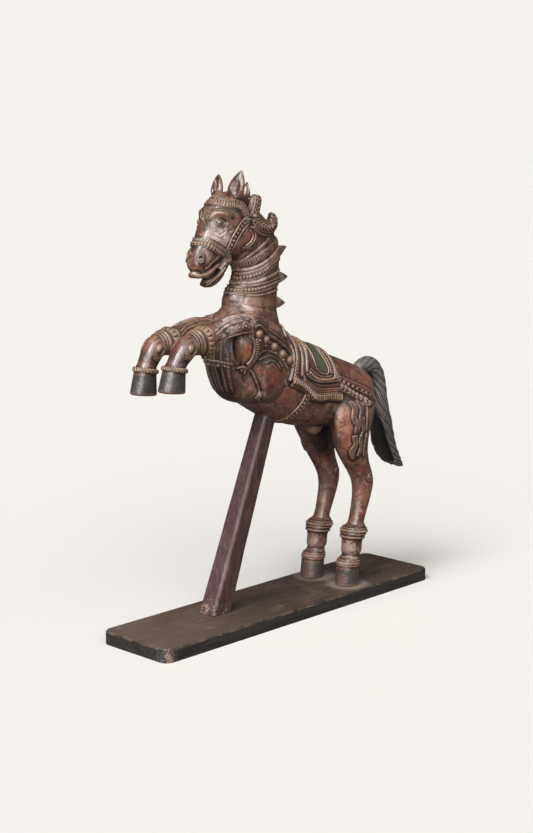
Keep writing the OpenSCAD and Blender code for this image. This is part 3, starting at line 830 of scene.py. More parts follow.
def dress_head(piece):
    """Bridle, eyes, nostrils, lips and jowl."""
    wrap = Wrap(piece.skin, HEAD_LINE)
    brow = [(27, 112), (31, 124), (36, 137), (43.5, 147), (51, 156), (55, 168), (56, 180)]
    wide = [7, 7.5, 9, 12, 14, 14.5, 14.5, 14.5, 14, 12, 9, 7.5, 7]
    row = ribs(1.7, 4.2, 1.0)
    ribbon(piece, wrap.over(brow), wide,
           stacked((0.08, pipe(2.6)), (0.37, row), (0.10, pipe(2.2)), (0.37, row), (0.08, pipe(2.6))),
           gild=0.5)
    nose = [(90, 0), (93, 16), (95, 31), (99, 43), (107, 81), (111, 113), (114, 138), (117, 162), (118, 180)]
    ribbon(piece, wrap.around(nose), 8.0,
           stacked((0.10, pipe(2.4)), (0.24, ribs(1.2, 4.2, 0.8)), (0.10, pipe(1.8)),
                   (0.46, beads(2.4, 6.2, 0.5)), (0.10, pipe(2.6))), closed=True, gild=GOLD)
    for s in SIDES:
        dress_cheek(piece, wrap, s)
        dress_eye(piece, s)
        dress_mouth(piece, s)
        # The pale grey brushes on the cheek and nose are a painted sheen, a painted highlight
        piece.brushes(s, ((-165, 30, 716), (38, 20, 29), PAINTED_SHEEN, 0.85),
                      ((-200, 18, 690), (16, 14, 14), PAINTED_SHEEN, 0.25),
                      ((-172, 27, 706), (22, 16, 18), RED, 0.4),
                      ((-116, 32, 720), (12, 10, 16), RED, 0.7),
                      ((-196, 20, 672), (26, 14, 12), RED, 0.45),
                      ((-210, 8, 656), (16, 14, 9), (0.115, 0.036, 0.026), 0.9))
    # Painted shade inside the open mouth
    piece.brush((-171, 0, 659), (22, 26, 8), (0.035, 0.012, 0.010), 0.95)
    for far in (6.0, 14.0, 22.0):
        piece.score([(-185 - far * 0.6, -4 - far * 0.15, 748 - far), (-188 - far * 0.6, 0, 749 - far),
                     (-185 - far * 0.6, 4 + far * 0.15, 748 - far)], 0.8, 1.8)


def dress_cheek(piece, wrap, s):
    """The cheek strap with its studs, and the jowl's ridges, one inside the other."""
    strap = wrap.place([(26, 104), (41, 88), (56, 77), (70, 67), (85, 50), (92, 34)], s)
    ribbon(piece, strap, 7.6, framed(diamonds(2.2, 8.0, 0.2), 2.4, 0.26), gild=GOLD)
    for at, size in (((26, 104), 9.0), ((93, 32), 8.5)):
        spot = wrap.place([at], s)[0]
        medal(piece, spot, size, knop(4.2), toward=(-1, 0, 0.3), stretch=1.1, paint=GREEN, gild=0.2)
        medal(piece, spot, size * 0.42, dome(6.0), gild=0.5)
    for turn, line in enumerate(JOWL):
        ribbon(piece, handed(line, s), 2.0 - 0.2 * turn, pipe(2.2))


def dress_eye(piece, s):
    """Ball and pupil, the lid round them, two folds below, and the brow."""
    eye = np.array([-173, s * 28, 747.0])
    along = np.array([-13, -s * 7, 2.5])
    piece.brush(eye, (11, 10, 6.6), SHADOW, 0.95)
    medal(piece, eye, 4.4, dome(4.2), along, 1.4, paint=(0.090, 0.072, 0.060))
    medal(piece, eye, 2.6, dome(5.0, 0.3), along, paint=(0.012, 0.010, 0.010))
    up = np.array([0.25, s * 0.2, 1.0])
    ring = [eye + unit(along) * 8.4 * math.cos(a) * (1 + 0.12 * math.cos(2 * a)) + up * 4.6 * math.sin(a)
            for a in turns(16)]
    ribbon(piece, ring, 1.2, pipe(1.8), closed=True)
    for drop in (0, 8):
        fold = [(-180, 25, 732 - drop), (-173, 28, 727 - drop), (-166, 30, 731 - drop)]
        piece.score(handed(fold, s), 0.7, 1.6)
    ribbon(piece, handed(BROW, s), 1.1, pipe(0.6))
    ribbon(piece, handed([(-189, 12, 752), (-190, 14, 745), (-187, 17, 738)], s), 1.6, pipe(1.6))


def dress_mouth(piece, s):
    """Nostril rims and the lines of the lips."""
    piece.score(handed(NOSTRIL, s), 1.8, 2.2)
    for size, half, high in ((8.5, 1.5, 1.6), (5.2, 1.3, 1.6)):
        ring = [(-211 + size * 0.5 * math.cos(a), s * (18 + size * 0.45 * math.cos(a)),
                 687 + size * math.sin(a)) for a in turns(12)]
        ribbon(piece, ring, half, pipe(high), closed=True)
    piece.score(handed(LIP, s), 1.8, 2.0)
    ribbon(piece, [(x, y, z + 4.5) for x, y, z in handed(LIP[2:], s)], 1.4, pipe(1.4))
    ribbon(piece, handed([(-152, 20, 668), (-163, 19, 656), (-177, 14, 645), (-189, 6, 636)], s),
           1.8, pipe(2.0))


def dress_neck(piece):
    """Three collars, the rolls between them, creases and paint."""
    wrap = Wrap(piece.skin, NECK_LINE)
    # Trim lays only light painted shade on the neck
    piece.trim_darkening = 0.45
    bands = (
        ([(139, 0), (136, 16), (125, 32), (122, 54), (121, 78), (120, 109), (118, 145), (117, 180)], 6.5,
         stacked((0.12, pipe(2.6)), (0.76, ribs(2.4, 5.4, 0.8, 0.15)), (0.12, pipe(2.6)))),
        ([(78, 0), (79, 11), (80, 29), (83, 50), (87, 79), (94, 114), (98, 150), (100, 180)], 6.6,
         stacked((0.14, pipe(2.6)), (0.06, pipe(0.2)), (0.6, beads(2.6, 6.4, 0.3)), (0.06, pipe(0.2)),
                 (0.14, pipe(2.6)))),
        ([(50, 0), (50, 14), (51, 29), (52, 48), (55, 73), (59, 108), (62, 135), (65, 180)], 7.2,
         stacked((0.12, pipe(2.6)), (0.14, ribs(1.0, 3.6, 0.6)), (0.48, beads(2.4, 6.8, 0.3)),
                 (0.14, pipe(0.6)), (0.12, pipe(2.8)))))
    for marks, half, pattern in bands:
        ribbon(piece, wrap.around(marks), half, pattern, closed=True, gild=GOLD)
    # These rolls are painted pale grey as a painted sheen, a painted highlight
    for marks, half, high in (
            ([(150, 0), (147, 30), (141, 61), (137, 94), (135, 140), (134, 180)], 3.0, 2.0),
            ([(105, 0), (101, 23), (101, 47), (104, 83), (108, 123), (112, 180)], 3.2, 2.4),
            ([(92, 0), (92, 30), (94, 60), (98, 90), (104, 123), (108, 180)], 1.6, 1.6),
            ([(66, 0), (67, 38), (69, 68), (74, 112), (78, 150), (80, 180)], 3.0, 2.2),
            ([(38, 0), (38, 30), (40, 60), (44, 100), (50, 140), (52, 180)], 1.8, 1.6)):
        ribbon(piece, wrap.around(marks), half, pipe(high), closed=True, paint=(*PAINTED_SHEEN, 0.6))
    for s in SIDES:
        # The first two brushes are a painted sheen, a painted highlight on the neck
        piece.brushes(s, ((-78, 38, 655), (34, 26, 55), PAINTED_SHEEN, 0.8),
                      ((-100, 40, 602), (34, 28, 26), PAINTED_SHEEN, 1.0),
                      ((-90, 48, 588), (9, 16, 18), SHADOW, 0.75),
                      ((-90, 40, 600), (26, 20, 18), SALMON, 0.35))
        for shift in (0, 9, 18):
            piece.score(wrap.place([(112 + shift, 20), (108 + shift, 50), (110 + shift, 90)], s), 0.6, 2.2)
        piece.score(wrap.place([(12, 10), (16, 40), (18, 75), (20, 110), (22, 150)], s), 0.9, 3.6)
        for turn in range(5):
            fold = [(6 + 7 * turn, 100), (10 + 7 * turn, 130), (8 + 7 * turn, 165)]
            piece.score(wrap.place(fold, s), 0.2, 1.5)
    piece.brush(wrap.place([(34, 70)])[0], 32, (0.20, 0.09, 0.05), 0.7)


# ---- The trunk: saddle, girth, bells and crupper ----

# Outlines on the barrel, as (distance toward the tail, degrees down from the back), and bells as (x, z)
CLOTH = [(-66, -40), (-66, 20), (-60, 37), (-38, 40), (-33, 51), (-31, 77), (-30, 101), (-3, 101), (16, 103),
         (31, 108), (50, 113), (69, 112), (89, 105), (111, 99), (132, 95), (124, 81), (113, 75), (109, 63),
         (105, 54), (98, 44), (91, 33), (86, 24), (84, 10), (84, -40)]
SEAT = [(4, -40), (4, 10), (7, 30), (4, 49), (5, 66), (8, 77), (28, 83), (53, 81), (87, 72), (108, 64),
        (104, 54), (97, 44), (90, 33), (85, 24), (83, 10), (83, -40)]
GREEN_SEAT = [(12, -40), (12, 10), (15, 27), (22, 38), (28, 49), (34, 58), (49, 63), (70, 62), (72, 54),
              (66, 44), (58, 36), (52, 25), (50, 10), (50, -40)]


BELLS = ((-137, 558), (-116, 549), (-92, 536), (-68, 521), (-47, 506), (-26, 492))


def inside(points, outline):
    """How far 2-D points lie inside an outline. Outside it the distance is negative."""
    p = np.array(outline, float)
    q = np.roll(p, -1, 0)
    best = np.full(len(points), 1e9)
    within = np.zeros(len(points), bool)
    for a, b in zip(p, q):
        d = b - a
        t = np.clip(((points - a) @ d) / max(d @ d, 1e-9), 0, 1)
        best = np.minimum(best, np.linalg.norm(points - a - t[:, None] * d, axis=1))
        crosses = (a[1] > points[:, 1]) != (b[1] > points[:, 1])
        at = a[0] + (points[:, 1] - a[1]) * d[0] / (d[1] if abs(d[1]) > 1e-9 else 1e-9)
        within ^= crosses & (points[:, 0] < at)
    return np.where(within, best, -best)


def barrel_marks(points):
    """Each point's s along the barrel and its angle down from the back, as (s, angle) rows."""
    x, y, z = points.T
    s = x * math.cos(PITCH) - (z - AXIS_Z) * math.sin(PITCH)
    p = x * math.sin(PITCH) + (z - AXIS_Z) * math.cos(PITCH)
    return np.stack([s, np.degrees(np.arctan2(np.abs(y), p))], 1)


def raise_saddle(piece):
    """Lifts the saddle cloth and the seat panel on it, and paints them."""
    marks = barrel_marks(piece.points)
    lift = 3.4 * smooth(inside(marks, CLOTH) / 2.4 + 0.5) + 1.6 * smooth(inside(marks, SEAT) / 2.4 + 0.5)
    piece.push(lift)
    piece.wash(0.95 * smooth(inside(marks, GREEN_SEAT) / 3 + 0.3), GREEN)
    piece.grown = piece.normals()


def dress_torso(piece):
    """The saddle cloth's borders, the trim of both sides, and the girth under the belly."""
    wrap = Wrap(piece.skin, TRUNK_LINE)
    zigzag = ribs(2.2, 6.0, 0.6, bow=0.9)
    saddle = (
        # The front border, its chevrons, a smooth roll and a second row of chevrons
        ([(-62, 0), (-61, 20), (-57, 37), (-38, 42), (-32, 52), (-30, 64), (-29, 77), (-28, 91), (-28, 100)],
         2.2, pipe(2.2), 0.2),
        ([(-34, 0), (-33, 12), (-29, 24), (-23, 37), (-20, 52), (-19, 67), (-18, 81), (-17, 97)],
         5.0, framed(zigzag, 2.0, 0.16), GOLD),
        ([(-9, 0), (-8, 12), (-5, 32), (-3, 48), (-3, 65), (0, 79), (2, 84)], 4.2, pipe(2.4), 0.1),
        ([(6, 0), (7, 12), (9, 30), (8, 49), (9, 66), (12, 74)], 3.6, framed(zigzag, 1.6, 0.2), GOLD),
        # The green panel's border, and the borders behind it
        ([(13, 0), (13, 12), (17, 28), (24, 40), (30, 51), (36, 60), (50, 65), (68, 63)],
         1.6, pipe(1.8), 0.3),
        ([(52, 0), (52, 12), (54, 25), (60, 36), (68, 46), (74, 56), (70, 63)], 1.6, pipe(1.8), 0.3),
        ([(66, 0), (67, 12), (69, 24), (75, 36), (81, 46), (85, 58)], 5.2, ribs(1.3, 5.0, 0.5), 0.4),
        ([(77, 0), (78, 12), (80, 21), (84, 33), (89, 45), (93, 57), (93, 66)], 1.8, pipe(1.8), 0.2),
        ([(83, 0), (84, 12), (86, 23), (90, 33), (97, 44), (103, 54), (107, 63)], 2.2, pipe(2.4), 0.2),
        ([(80, 0), (80.5, 12), (83, 22), (87, 33), (93, 45), (98, 55), (100, 64)],
         1.6, beads(1.4, 4.0, 0.3), GOLD),
        # Beads along the foot of the seat, then the striped hem
        ([(16, 72), (33, 76), (49, 77), (63, 74), (86, 67), (92, 64)], 3.4, beads(3.0, 7.0, 0.3), GOLD),
        ([(18, 66), (34, 69.5), (49, 71), (63, 69), (84, 62)], 1.6, pipe(1.6), 0.3),
        ([(10, 77), (29, 81.5), (53, 80), (87, 71), (106, 64)], 1.8, pipe(1.8), 0.2))
    for marks, half, pattern, gild in saddle:
        if marks[0][1] == 0:
            ribbon(piece, wrap.over(marks[::-1][:-1] + [marks[0]]), half, pattern, gild=gild)
        else:
            for s in SIDES:
                ribbon(piece, wrap.place(marks, s), half, pattern, gild=gild)
    for s in SIDES:
        dress_hem(piece, wrap, s)
        dress_bells(piece, wrap, s)
        dress_crupper(piece, wrap, s)
        dress_flank(piece, wrap, s)
    girth = [(34, 108), (34, 116), (32, 131), (29, 146), (28, 161), (27, 180)]
    ribbon(piece, wrap.over(girth), 7.4,
           stacked((0.12, pipe(2.4)), (0.1, pipe(0.3)), (0.5, diamonds(2.8, 7.6, 0.4)), (0.1, pipe(0.3)),
                   (0.18, pipe(2.6))), gild=0.6)
    dress_breast(piece)
    dress_haunch(piece)


def dress_hem(piece, wrap, s):
    """Red rails, the chevron hem and its ochre spots, on one side of the cloth."""
    top = [(4, 80), (14, 86), (29, 89), (55, 91), (86, 83), (110, 75)]
    for share in (0.1, 0.42, 0.74):
        line = [(u + 3 * share, a + 11 * share) for u, a in top]
        ribbon(piece, wrap.place(line, s), 1.9, pipe(2.0), paint=(*RED, 0.75))
    upper = wrap.place([(-10, 93), (6, 93), (24, 96), (44, 99), (60, 100), (82, 93), (103, 87),
                        (122, 83)], s)
    lower = wrap.place([(-28, 101), (-5, 101), (14, 103), (31, 108), (50, 113), (69, 112), (89, 105),
                        (111, 99), (131, 95)], s)
    route, half = between(upper, lower)
    ribbon(piece, route, half + 1.0,
           stacked((0.13, pipe(2.6)), (0.75, ribs(3.4, 6.2, 0.8, 0.2)), (0.12, pipe(2.2))), gild=0.5)
    for at, size in (((50, 107), 9), ((124, 90), 9), ((-14, 97), 7)):
        piece.brush(wrap.place([at], s)[0], size, OCHRE, 0.9)


def dress_bells(piece, wrap, s):
    """Bells on a cord from the withers to the saddle, with a painted shadow under each."""
    cord = [(-166, 50), (-150, 50), (-130, 49), (-109, 47), (-87, 49), (-62, 51), (-38, 54)]
    piece.score(wrap.place([(u, a + 3.2) for u, a in cord], s), 2.6, 3.0)
    ribbon(piece, wrap.place([(u, a - 1) for u, a in cord], s), 2.2, pipe(2.4))
    ribbon(piece, wrap.place([(u, a - 7) for u, a in cord], s), 1.4, pipe(1.2))
    for x, z in BELLS:
        medal(piece, (x, s * 64, z), 8.2, dome(7.4), gild=0.3)
        medal(piece, (x + 1, s * 64, z - 11), 3.4, dome(4.0), gild=0.3)
        # Painted shadow under the bell
        piece.brush((x + 4, s * 62, z - 8), (12, 9, 8), (0.02, 0.013, 0.011), 0.8)


def dress_crupper(piece, wrap, s):
    """A rail, a row of dark slots and a row of rosettes."""
    back = [(112, 60), (133, 60), (151, 60.5), (169, 61), (189, 61), (209, 62), (222, 64)]
    ribbon(piece, wrap.place([(u, a - 5.5) for u, a in back], s), 2.6, pipe(2.4), gild=0.2)
    ribbon(piece, wrap.place([(u, a + 1) for u, a in back], s), 4.4, framed(pits(2.4, 13), 1.8, 0.14),
           gild=0.3)
    for u, a in ((122, 69), (134, 70), (146, 71.5), (158, 73), (170, 74), (182, 75), (194, 76.5),
                 (206, 79)):
        medal(piece, wrap.place([(u, a)], s)[0], 6.6, rosette(6.0, 5), gild=0.6)
    ribbon(piece, wrap.place([(u, a + 17) for u, a in back[:-1]], s), 1.6, pipe(1.8))


def dress_flank(piece, wrap, s):
    """Folds over the ribs and round the shoulder blade, and the paint of the flank."""
    for marks, half, high in (
            ([(-124, 82), (-121, 76), (-102, 67), (-81, 68), (-55, 73), (-39, 82)], 2.0, 1.8),
            ([(-116, 88), (-109, 81), (-95, 74), (-73, 75), (-55, 82)], 1.8, 1.6),
            ([(-108, 92), (-100, 86), (-88, 80), (-72, 82), (-60, 89)], 1.6, 1.3),
            ([(-156, 62), (-149, 68), (-143, 76), (-140, 85), (-140, 95), (-143, 104)], 2.6, 3.0),
            ([(-127, 110), (-117, 114), (-106, 122), (-96, 128), (-86, 134)], 2.2, 2.2)):
        ribbon(piece, wrap.place(marks, s), half, pipe(high))
    blade = [(-146, 62), (-138, 70), (-132, 79), (-129, 90), (-129, 101), (-134, 109)]
    ribbon(piece, wrap.place(blade, s), 5.0, framed(ribs(2.0, 4.4, 0.6), 1.4, 0.14), gild=0.45)
    for lean in (-8, 0, 8):
        ribbon(piece, wrap.place([(-139 + lean * 0.3, 108), (-139 + lean, 122)], s), 2.3, pipe(2.8),
               gild=0.5)
    for lean in (-5, 0, 5):
        ribbon(piece, wrap.place([(-87 + lean * 0.3, 133), (-82 + lean, 144)], s), 1.8, pipe(2.2),
               gild=0.3)
    piece.score(wrap.place([(-118, 118), (-100, 129), (-74, 142), (-50, 148), (-38, 142), (-33, 127),
                            (-32, 112)], s), 1.5, 5.0)
    piece.score(wrap.place([(-158, 96), (-150, 108), (-140, 122), (-124, 134)], s), 1.8, 4.0)
    piece.brush(wrap.place([(-157, 84)], s)[0], (14, 16, 22), SALMON, 0.86)
    piece.brush(wrap.place([(-157, 84)], s)[0], (9, 12, 17), RED, 0.7)
    for at, size, strength in (((-68, 98), 22, 0.7), ((-66, 116), 24, 0.6), ((-24, 128), 24, 0.6),
                               ((10, 130), 22, 0.5), ((100, 42), 24, 0.35), ((150, 44), 34, 0.5),
                               ((190, 48), 26, 0.5)):
        piece.brush(wrap.place([at], s)[0], size, RED, strength)
    # The middle brush is a painted sheen, a painted highlight at the foot of the neck
    piece.brushes(s, ((176, 36, 462), (26, 20, 16), SHADOW, 0.6),
                  ((-100, 42, 598), (34, 24, 22), PAINTED_SHEEN, 0.87),
                  ((-84, 48, 588), (9, 18, 20), SHADOW, 0.87))


# Dark grime and painted shade on the ridges down the breast between the forelegs
BREAST_GRIME_AND_SHADE = (0.045, 0.022, 0.016, 0.85)


def dress_breast(piece):
    """The collar's pendants and the ridges that run down the breast between the forelegs, with dark grime and
    painted shade over the breast.
    """
    for side_y, pattern, half in ((0, framed(ribs(1.2, 5.0, 0.5, bow=0.7), 1.6, 0.2), 7.0),
                                  (19, pipe(2.0), 2.6), (29, ribs(1.1, 4.4, 0.4), 3.2)):
        for s in SIDES[:1] if side_y == 0 else SIDES:
            line = [(-210, s * side_y, 535), (-205, s * side_y, 505), (-200, s * side_y * 0.95, 470),
                    (-190, s * side_y * 0.8, 438)]
            ribbon(piece, piece.cast(line, (1.0, 0, 0.08), 120), half, pattern, paint=BREAST_GRIME_AND_SHADE)
    bar = piece.cast([(-210, y, 500 - 0.004 * y * y) for y in range(-36, 37, 12)], (1.0, 0, 0), 120)
    ribbon(piece, bar, 2.6, beads(2.0, 6.0, 0.5), gild=0.3)
    for y in (-24, -12, 0, 12, 24):
        medal(piece, piece.cast([(-210, y, 491)], (1.0, 0, 0), 120)[0], 4.4, rosette(2.6, 4), gild=0.4)
    for s in SIDES:
        spot = piece.cast([(-210, s * 12, 470)], (1.0, 0, 0), 120)[0]
        # Painted shade between the forelegs, over dark grime
        piece.brush(spot + (4, 0, -8), (60, 34, 95), SHADOW, 0.96)
        piece.brush(spot + (0, s * 14, 0), (20, 8, 44), RED, 0.3)


# Lines down the left thigh, mirrored for the right, as (x, distance from the middle, z)
VINE = [(138, 60, 394), (147, 60, 378), (142, 66, 362), (150, 67, 346), (144, 68, 330), (150, 66, 312),
        (145, 64, 296), (150, 62, 280)]
VINE_EDGE = [(158, 62, 396), (167, 66, 379), (159, 70, 361), (166, 70, 342), (160, 68, 322), (164, 66, 302),
             (157, 64, 284)]
BACK_RIDGE = [(184, 60, 394), (183, 66, 372), (177, 70, 348), (176, 69, 322), (172, 66, 300), (174, 62, 280)]


def dress_haunch(piece, above=True):
    """The feathered vine down the thigh, on whichever of its two blocks is given."""
    for s in SIDES:
        # The second brush is a painted sheen, a painted highlight on the thigh
        piece.brushes(s, ((130, 62, 345), (28, 22, 64), SALMON, 0.87),
                      ((122, 62, 322), (15, 22, 34), PAINTED_SHEEN, 0.2),
                      ((156, 62, 342), (24, 26, 74), (0.040, 0.044, 0.026), 0.93))
        for rows, half, pattern, paint in (
                (VINE, [4.0, 8.6, 6.0, 8.4], ribs(2.6, 4.0, 0.2, bow=1.1), None),
                (VINE_EDGE, [3.0, 6.6, 5.0, 6.8, 3.0], ribs(2.0, 3.6, 0.2, bow=0.8), (*GREEN, 0.7)),
                (BACK_RIDGE, [1.6, 3.0, 2.0], ribs(1.8, 4.0, 0.4, 0.3), None)):
            line, _ = evenly(spline(handed(rows, s), 6), 2.0)
            part = line[line[:, 2] >= THIGH_JOINT] if above else line[line[:, 2] < THIGH_JOINT + 2]
            if len(part) > 3 and (above or np.sign(piece.points[0, 1]) == s):
                widths = half if above else [w * 0.8 for w in half[::-1]]
                ribbon(piece, part[::3], widths, pattern, paint=paint, gild=0.3 if paint is None else 0.0)
        if above:
            for x, z, size in ((150, 386, 9), (176, 384, 7), (166, 358, 6)):
                medal(piece, (x, s * 64, z), size, target(2.6, 2), gild=0.4)


# ---- Legs and tail ----

def dress_upper_arm(piece, side):
    """Two raised rails along the arm, a boss at the shoulder and studs near the knee."""
    k = KNEE[side]
    y, z = side * FORE_GAP, ARM_Z[side]
    # Trim lays lighter painted shade on the arm
    piece.trim_darkening = 0.6
    rails = (([(-127, z - 19), (-127, z - 2), (-134, z + 11), (-146, z + 15), (-165, z + 14), (-195, z + 8),
               (k[0] + 38, k[1] + 19)], 2.0, 2.2),
             ([(-134, z - 17), (-134, z - 3), (-140, z + 5), (-150, z + 8), (-166, z + 7), (-195, z + 2),
               (k[0] + 38, k[1] + 13)], 1.5, 1.6),
             ([(-134, z - 15), (-160, z - 15), (-195, z - 20), (k[0] + 38, k[1] - 8)], 1.8, 2.0))
    for marks, half, high in rails:
        for face in (1, -1):
            starts = [(x, y + face * 40, zz) for x, zz in marks]
            ribbon(piece, piece.cast(starts, (0.0, -face, 0), 60), half, pipe(high))
    for face in (1, -1):
        medal(piece, (-152, y + face * 20, z - 2), 8.0, target(3.6, 2), gild=0.1)
    # The first two brushes are a painted sheen, a painted highlight along the arm
    piece.brushes(side, ((-170, 64, z + 8), (60, 24, 22), PAINTED_SHEEN, 0.85),
                  ((-200, 66, z - 6), (34, 22, 16), PAINTED_SHEEN, 0.75),
                  ((-165, 64, z - 8), (30, 14, 7), RED, 0.4),
                  ((-180, 50, z - 26), (44, 20, 10), SALMON, 0.6))
    ring = hoop(piece.skin, (k[0] + 33, y, k[1] + 4), (1, 0, 0.18))
    ribbon(piece, ring, 2.0, pipe(2.0), closed=True)
    ring = hoop(piece.skin, (k[0] + 24, y, k[1] + 2.5), (1, 0, 0.18))
    ribbon(piece, ring, 6.6, petals(4.6, 8.2), closed=True, gild=GOLD)


def dress_shank(piece, side):
    """Knee rings and boss, the rope over the hoof, and the hoof's dark paint and rim."""
    k = KNEE[side]
    f, d = SHANK[side]
    y = side * FORE_GAP
    for back, half, high in ((9, 3.6, 3.0), (2, 1.8, 1.8), (-4, 1.4, 1.3)):
        ring = hoop(piece.skin, (k[0] + back, y, k[1] + 1), (1, 0, 0.2))
        ribbon(piece, ring, half, pipe(high), closed=True, gild=0.25)
    for face in (1, -1):
        boss = np.array([k[0] - 0.42 * f, y + face * 19, k[1] - 0.06 * d])
        toward = (0.35, 0, 1)
        medal(piece, boss, 7.6, dome(4.8, 0.6), toward, 1.25)
        for size, half, high in ((10.5, 1.5, 2.0), (14.5, 1.5, 1.8)):
            ring = [boss + (size * math.cos(a) * 0.95, 0, size * 1.2 * math.sin(a)) for a in turns(14)]
            ribbon(piece, ring, half, pipe(high), closed=True)
        for drop in range(4):
            line = [boss + (-13 - drop * 0.6, 0, -6 - 3.4 * drop), boss + (-6, 0, -11 - 3.4 * drop),
                    boss + (2, 0, -13 - 3.2 * drop)]
            ribbon(piece, line, 1.3, pipe(1.5))
        for drop in range(3):
            line = [boss + (-16 + 3 * drop, 0, 13 + 2.2 * drop), boss + (-11 + 3 * drop, 0, 17 + 2 * drop),
                    boss + (-4 + 3 * drop, 0, 18 + 1.6 * drop)]
            ribbon(piece, line, 1.2, pipe(1.3))
    piece.brush((k[0] - 0.66 * f, y, k[1] - 0.28 * d), (34, 38, 36), (0.042, 0.018, 0.014), 0.95)
    piece.brush((k[0] - 0.6 * f, y, k[1] + 2), (26, 30, 22), RED, 0.4)
    rope = hoop(piece.skin, (k[0] - 0.85 * f, y, k[1] - 0.5 * d), (-0.2, 0, -1))
    ribbon(piece, rope, 4.4, ribs(3.0, 5.6, 0.8, 0.55), closed=True, gild=0.65)
    sole = k[1] - d
    below = smooth((k[1] - 0.545 * d - piece.points[:, 2]) / 3)
    piece.wash(below * 0.97, BLACK)
    piece.wash(below * smooth((sole + 5.5 - piece.points[:, 2]) / 3) * 0.9, (0.16, 0.075, 0.045))


def dress_hind(piece, side):
    """The anklet, the rope over the hoof, the hock's spiral and the hoof's paint."""
    y = side * STANCE
    dress_haunch(piece, above=False)
    for x, z, half, pattern, gild in (
            (175, 136.5, 1.8, pipe(1.8), 0.3), (174, 131.5, 2.8, beads(2.4, 5.2, 0.6), GOLD),
            (173, 126, 1.3, pipe(1.2), 0.3), (171, 119.5, 2.4, pipe(2.2), 0.4),
            (158.5, 74, 1.8, pipe(1.8), 0.1), (157, 69, 3.0, ribs(1.8, 4.6, 0.6, 0.5), 0.35),
            (156, 64.5, 1.4, pipe(1.4), 0.1)):
        ring = hoop(piece.skin, (x - side * 2.5, y, z), (0.1, 0, 1), 50)
        ribbon(piece, ring, half, pattern, closed=True, gild=gild)
    for face in (1, -1):
        hock = (203, y + face * 15, 236)
        medal(piece, hock, 9.5, target(2.4, 2, 0.4), gild=0.1)
        for start, end in (((138, 330), (136, 262)), ((126, 318), (150, 250))):
            line = [(start[0] + (end[0] - start[0]) * t, y + face * 26, start[1] + (end[1] - start[1]) * t)
                    for t in (0, 0.33, 0.66, 1)]
            piece.score(line, 1.0, 2.0)
    # Painted shade on the inner face of the thigh, where the belly and the other leg shade it
    piece.brush((146, side * 18, 330), (62, 27, 88), (0.010, 0.006, 0.005), 1.0)
    # The last brush is a pale painted sheen over the pastern, a painted highlight
    piece.brushes(side, ((133, 60, 312), (15, 22, 44), SALMON, 0.7),
                  ((128, 60, 330), (9, 22, 30), RED, 0.6),
                  ((146, 60, 264), (12, 22, 28), SALMON, 0.55),
                  ((172, 60, 258), (14, 20, 12), RED, 0.8),
                  ((190, 50, 180), (9, 24, 44), RED, 0.35),
                  ((HIND_HOOF_X, STANCE, 98), (26, 30, 24), (0.30, 0.205, 0.175), 0.93))
    piece.score(hoop(piece.skin, (166 - side * 2.5, y, 84), (0.1, 0, 1), 50), 2.0, 5.0, closed=True)
    sole = smooth((61.5 - piece.points[:, 2]) / 3)
    piece.wash(sole * 0.97, BLACK)
    piece.brush((132, y - 6, 40), (11, 20, 22), (0.13, 0.06, 0.045), 0.5)
    for face in (-1, 1):
        piece.score([(160, y + face * 24, 60), (161, y + face * 24, 44), (164, y + face * 25, 27)], 2.4, 2.4)


# The middle of the tail from its root to its tip, as (x, z)
TAIL_LINE = np.array([(234, 440), (250, 445), (272, 444), (290, 424), (297, 396), (301, 362), (310, 325),
                      (320, 292), (336, 262), (356, 241), (380, 222)], float)


def comb_tail(piece):
    """Cuts the hair: slanting locks over the outside, finer straight ones in the hollow, a ragged edge."""
    line, length = evenly(spline(TAIL_LINE, 8), 2.0)
    p = piece.points
    flat = p[:, [0, 2]]
    square = (flat ** 2).sum(1)[:, None] + (line ** 2).sum(1)[None] - 2 * flat @ line.T
    at = square.argmin(1)
    along = at * length / len(line)
    ahead = np.gradient(line, axis=0)
    ahead /= np.linalg.norm(ahead, axis=1, keepdims=True)
    rel = flat - line[at]
    outward = rel[:, 0] * -ahead[at, 1] + rel[:, 1] * ahead[at, 0]
    turn = np.arctan2(p[:, 1], outward)
    wobble = lattice(p, 31, 26) * 1.2
    slant = along / 8.0 + np.abs(turn) * 4.2 + wobble
    locks = np.abs(np.sin(slant)) ** 0.7
    strands = np.abs(np.sin(slant * 3 + lattice(p, 32, 9)))
    within = TAIL_HOLLOW.distance(p.T) < 1.2
    depth = smooth(along / 30) * np.where(within, 0.35, 1.0)
    # Painted shade down the hollow
    piece.shade_and_smudge[:] = np.where(within, 0.9, 0)
    piece.push((1.7 * (locks - 0.7) + 0.7 * (strands - 0.6)) * depth)


# ---- Ears, crest, bows and mane tufts ----

def ear(name, side, height):
    base = np.array([-130, side * 24, 795.0])
    front = unit(np.array([-0.93, side * 0.36 if side == LEFT else side * -0.05, 0.05]))
    yaw = math.degrees(math.atan2(-front[1], -front[0]))
    mid = base + (2, side * 1.5, height * 0.46)
    hollow = Blob(mid + front * 11, (7, 11, height * 0.50), 0, yaw)
    piece = Piece(*small_surface(name, 0.8, cut=[(hollow, 1.0)]))
    piece.brush(mid + front * 6, (9, 10, height * 0.46), RED if side == RIGHT else (0.10, 0.065, 0.06), 0.95)
    piece.set_skin()
    rib = [base + front * 12 + (0, 0, height * 0.12), mid + front * 12,
           base + (5, side * 3, height * 0.74) + front * 9]
    ribbon(piece, piece.cast(rib, -front, 22), [2.0, 4.6, 1.2], pipe(2.4), fine=0.7,
           paint=(0.15, 0.11, 0.12, 0.8))
    piece.score([base + (12, side * 4, 6), base + (11, side * 8, height * 0.4),
                 base + (9, side * 8, height * 0.8)], 0.8, 1.5)
    return piece


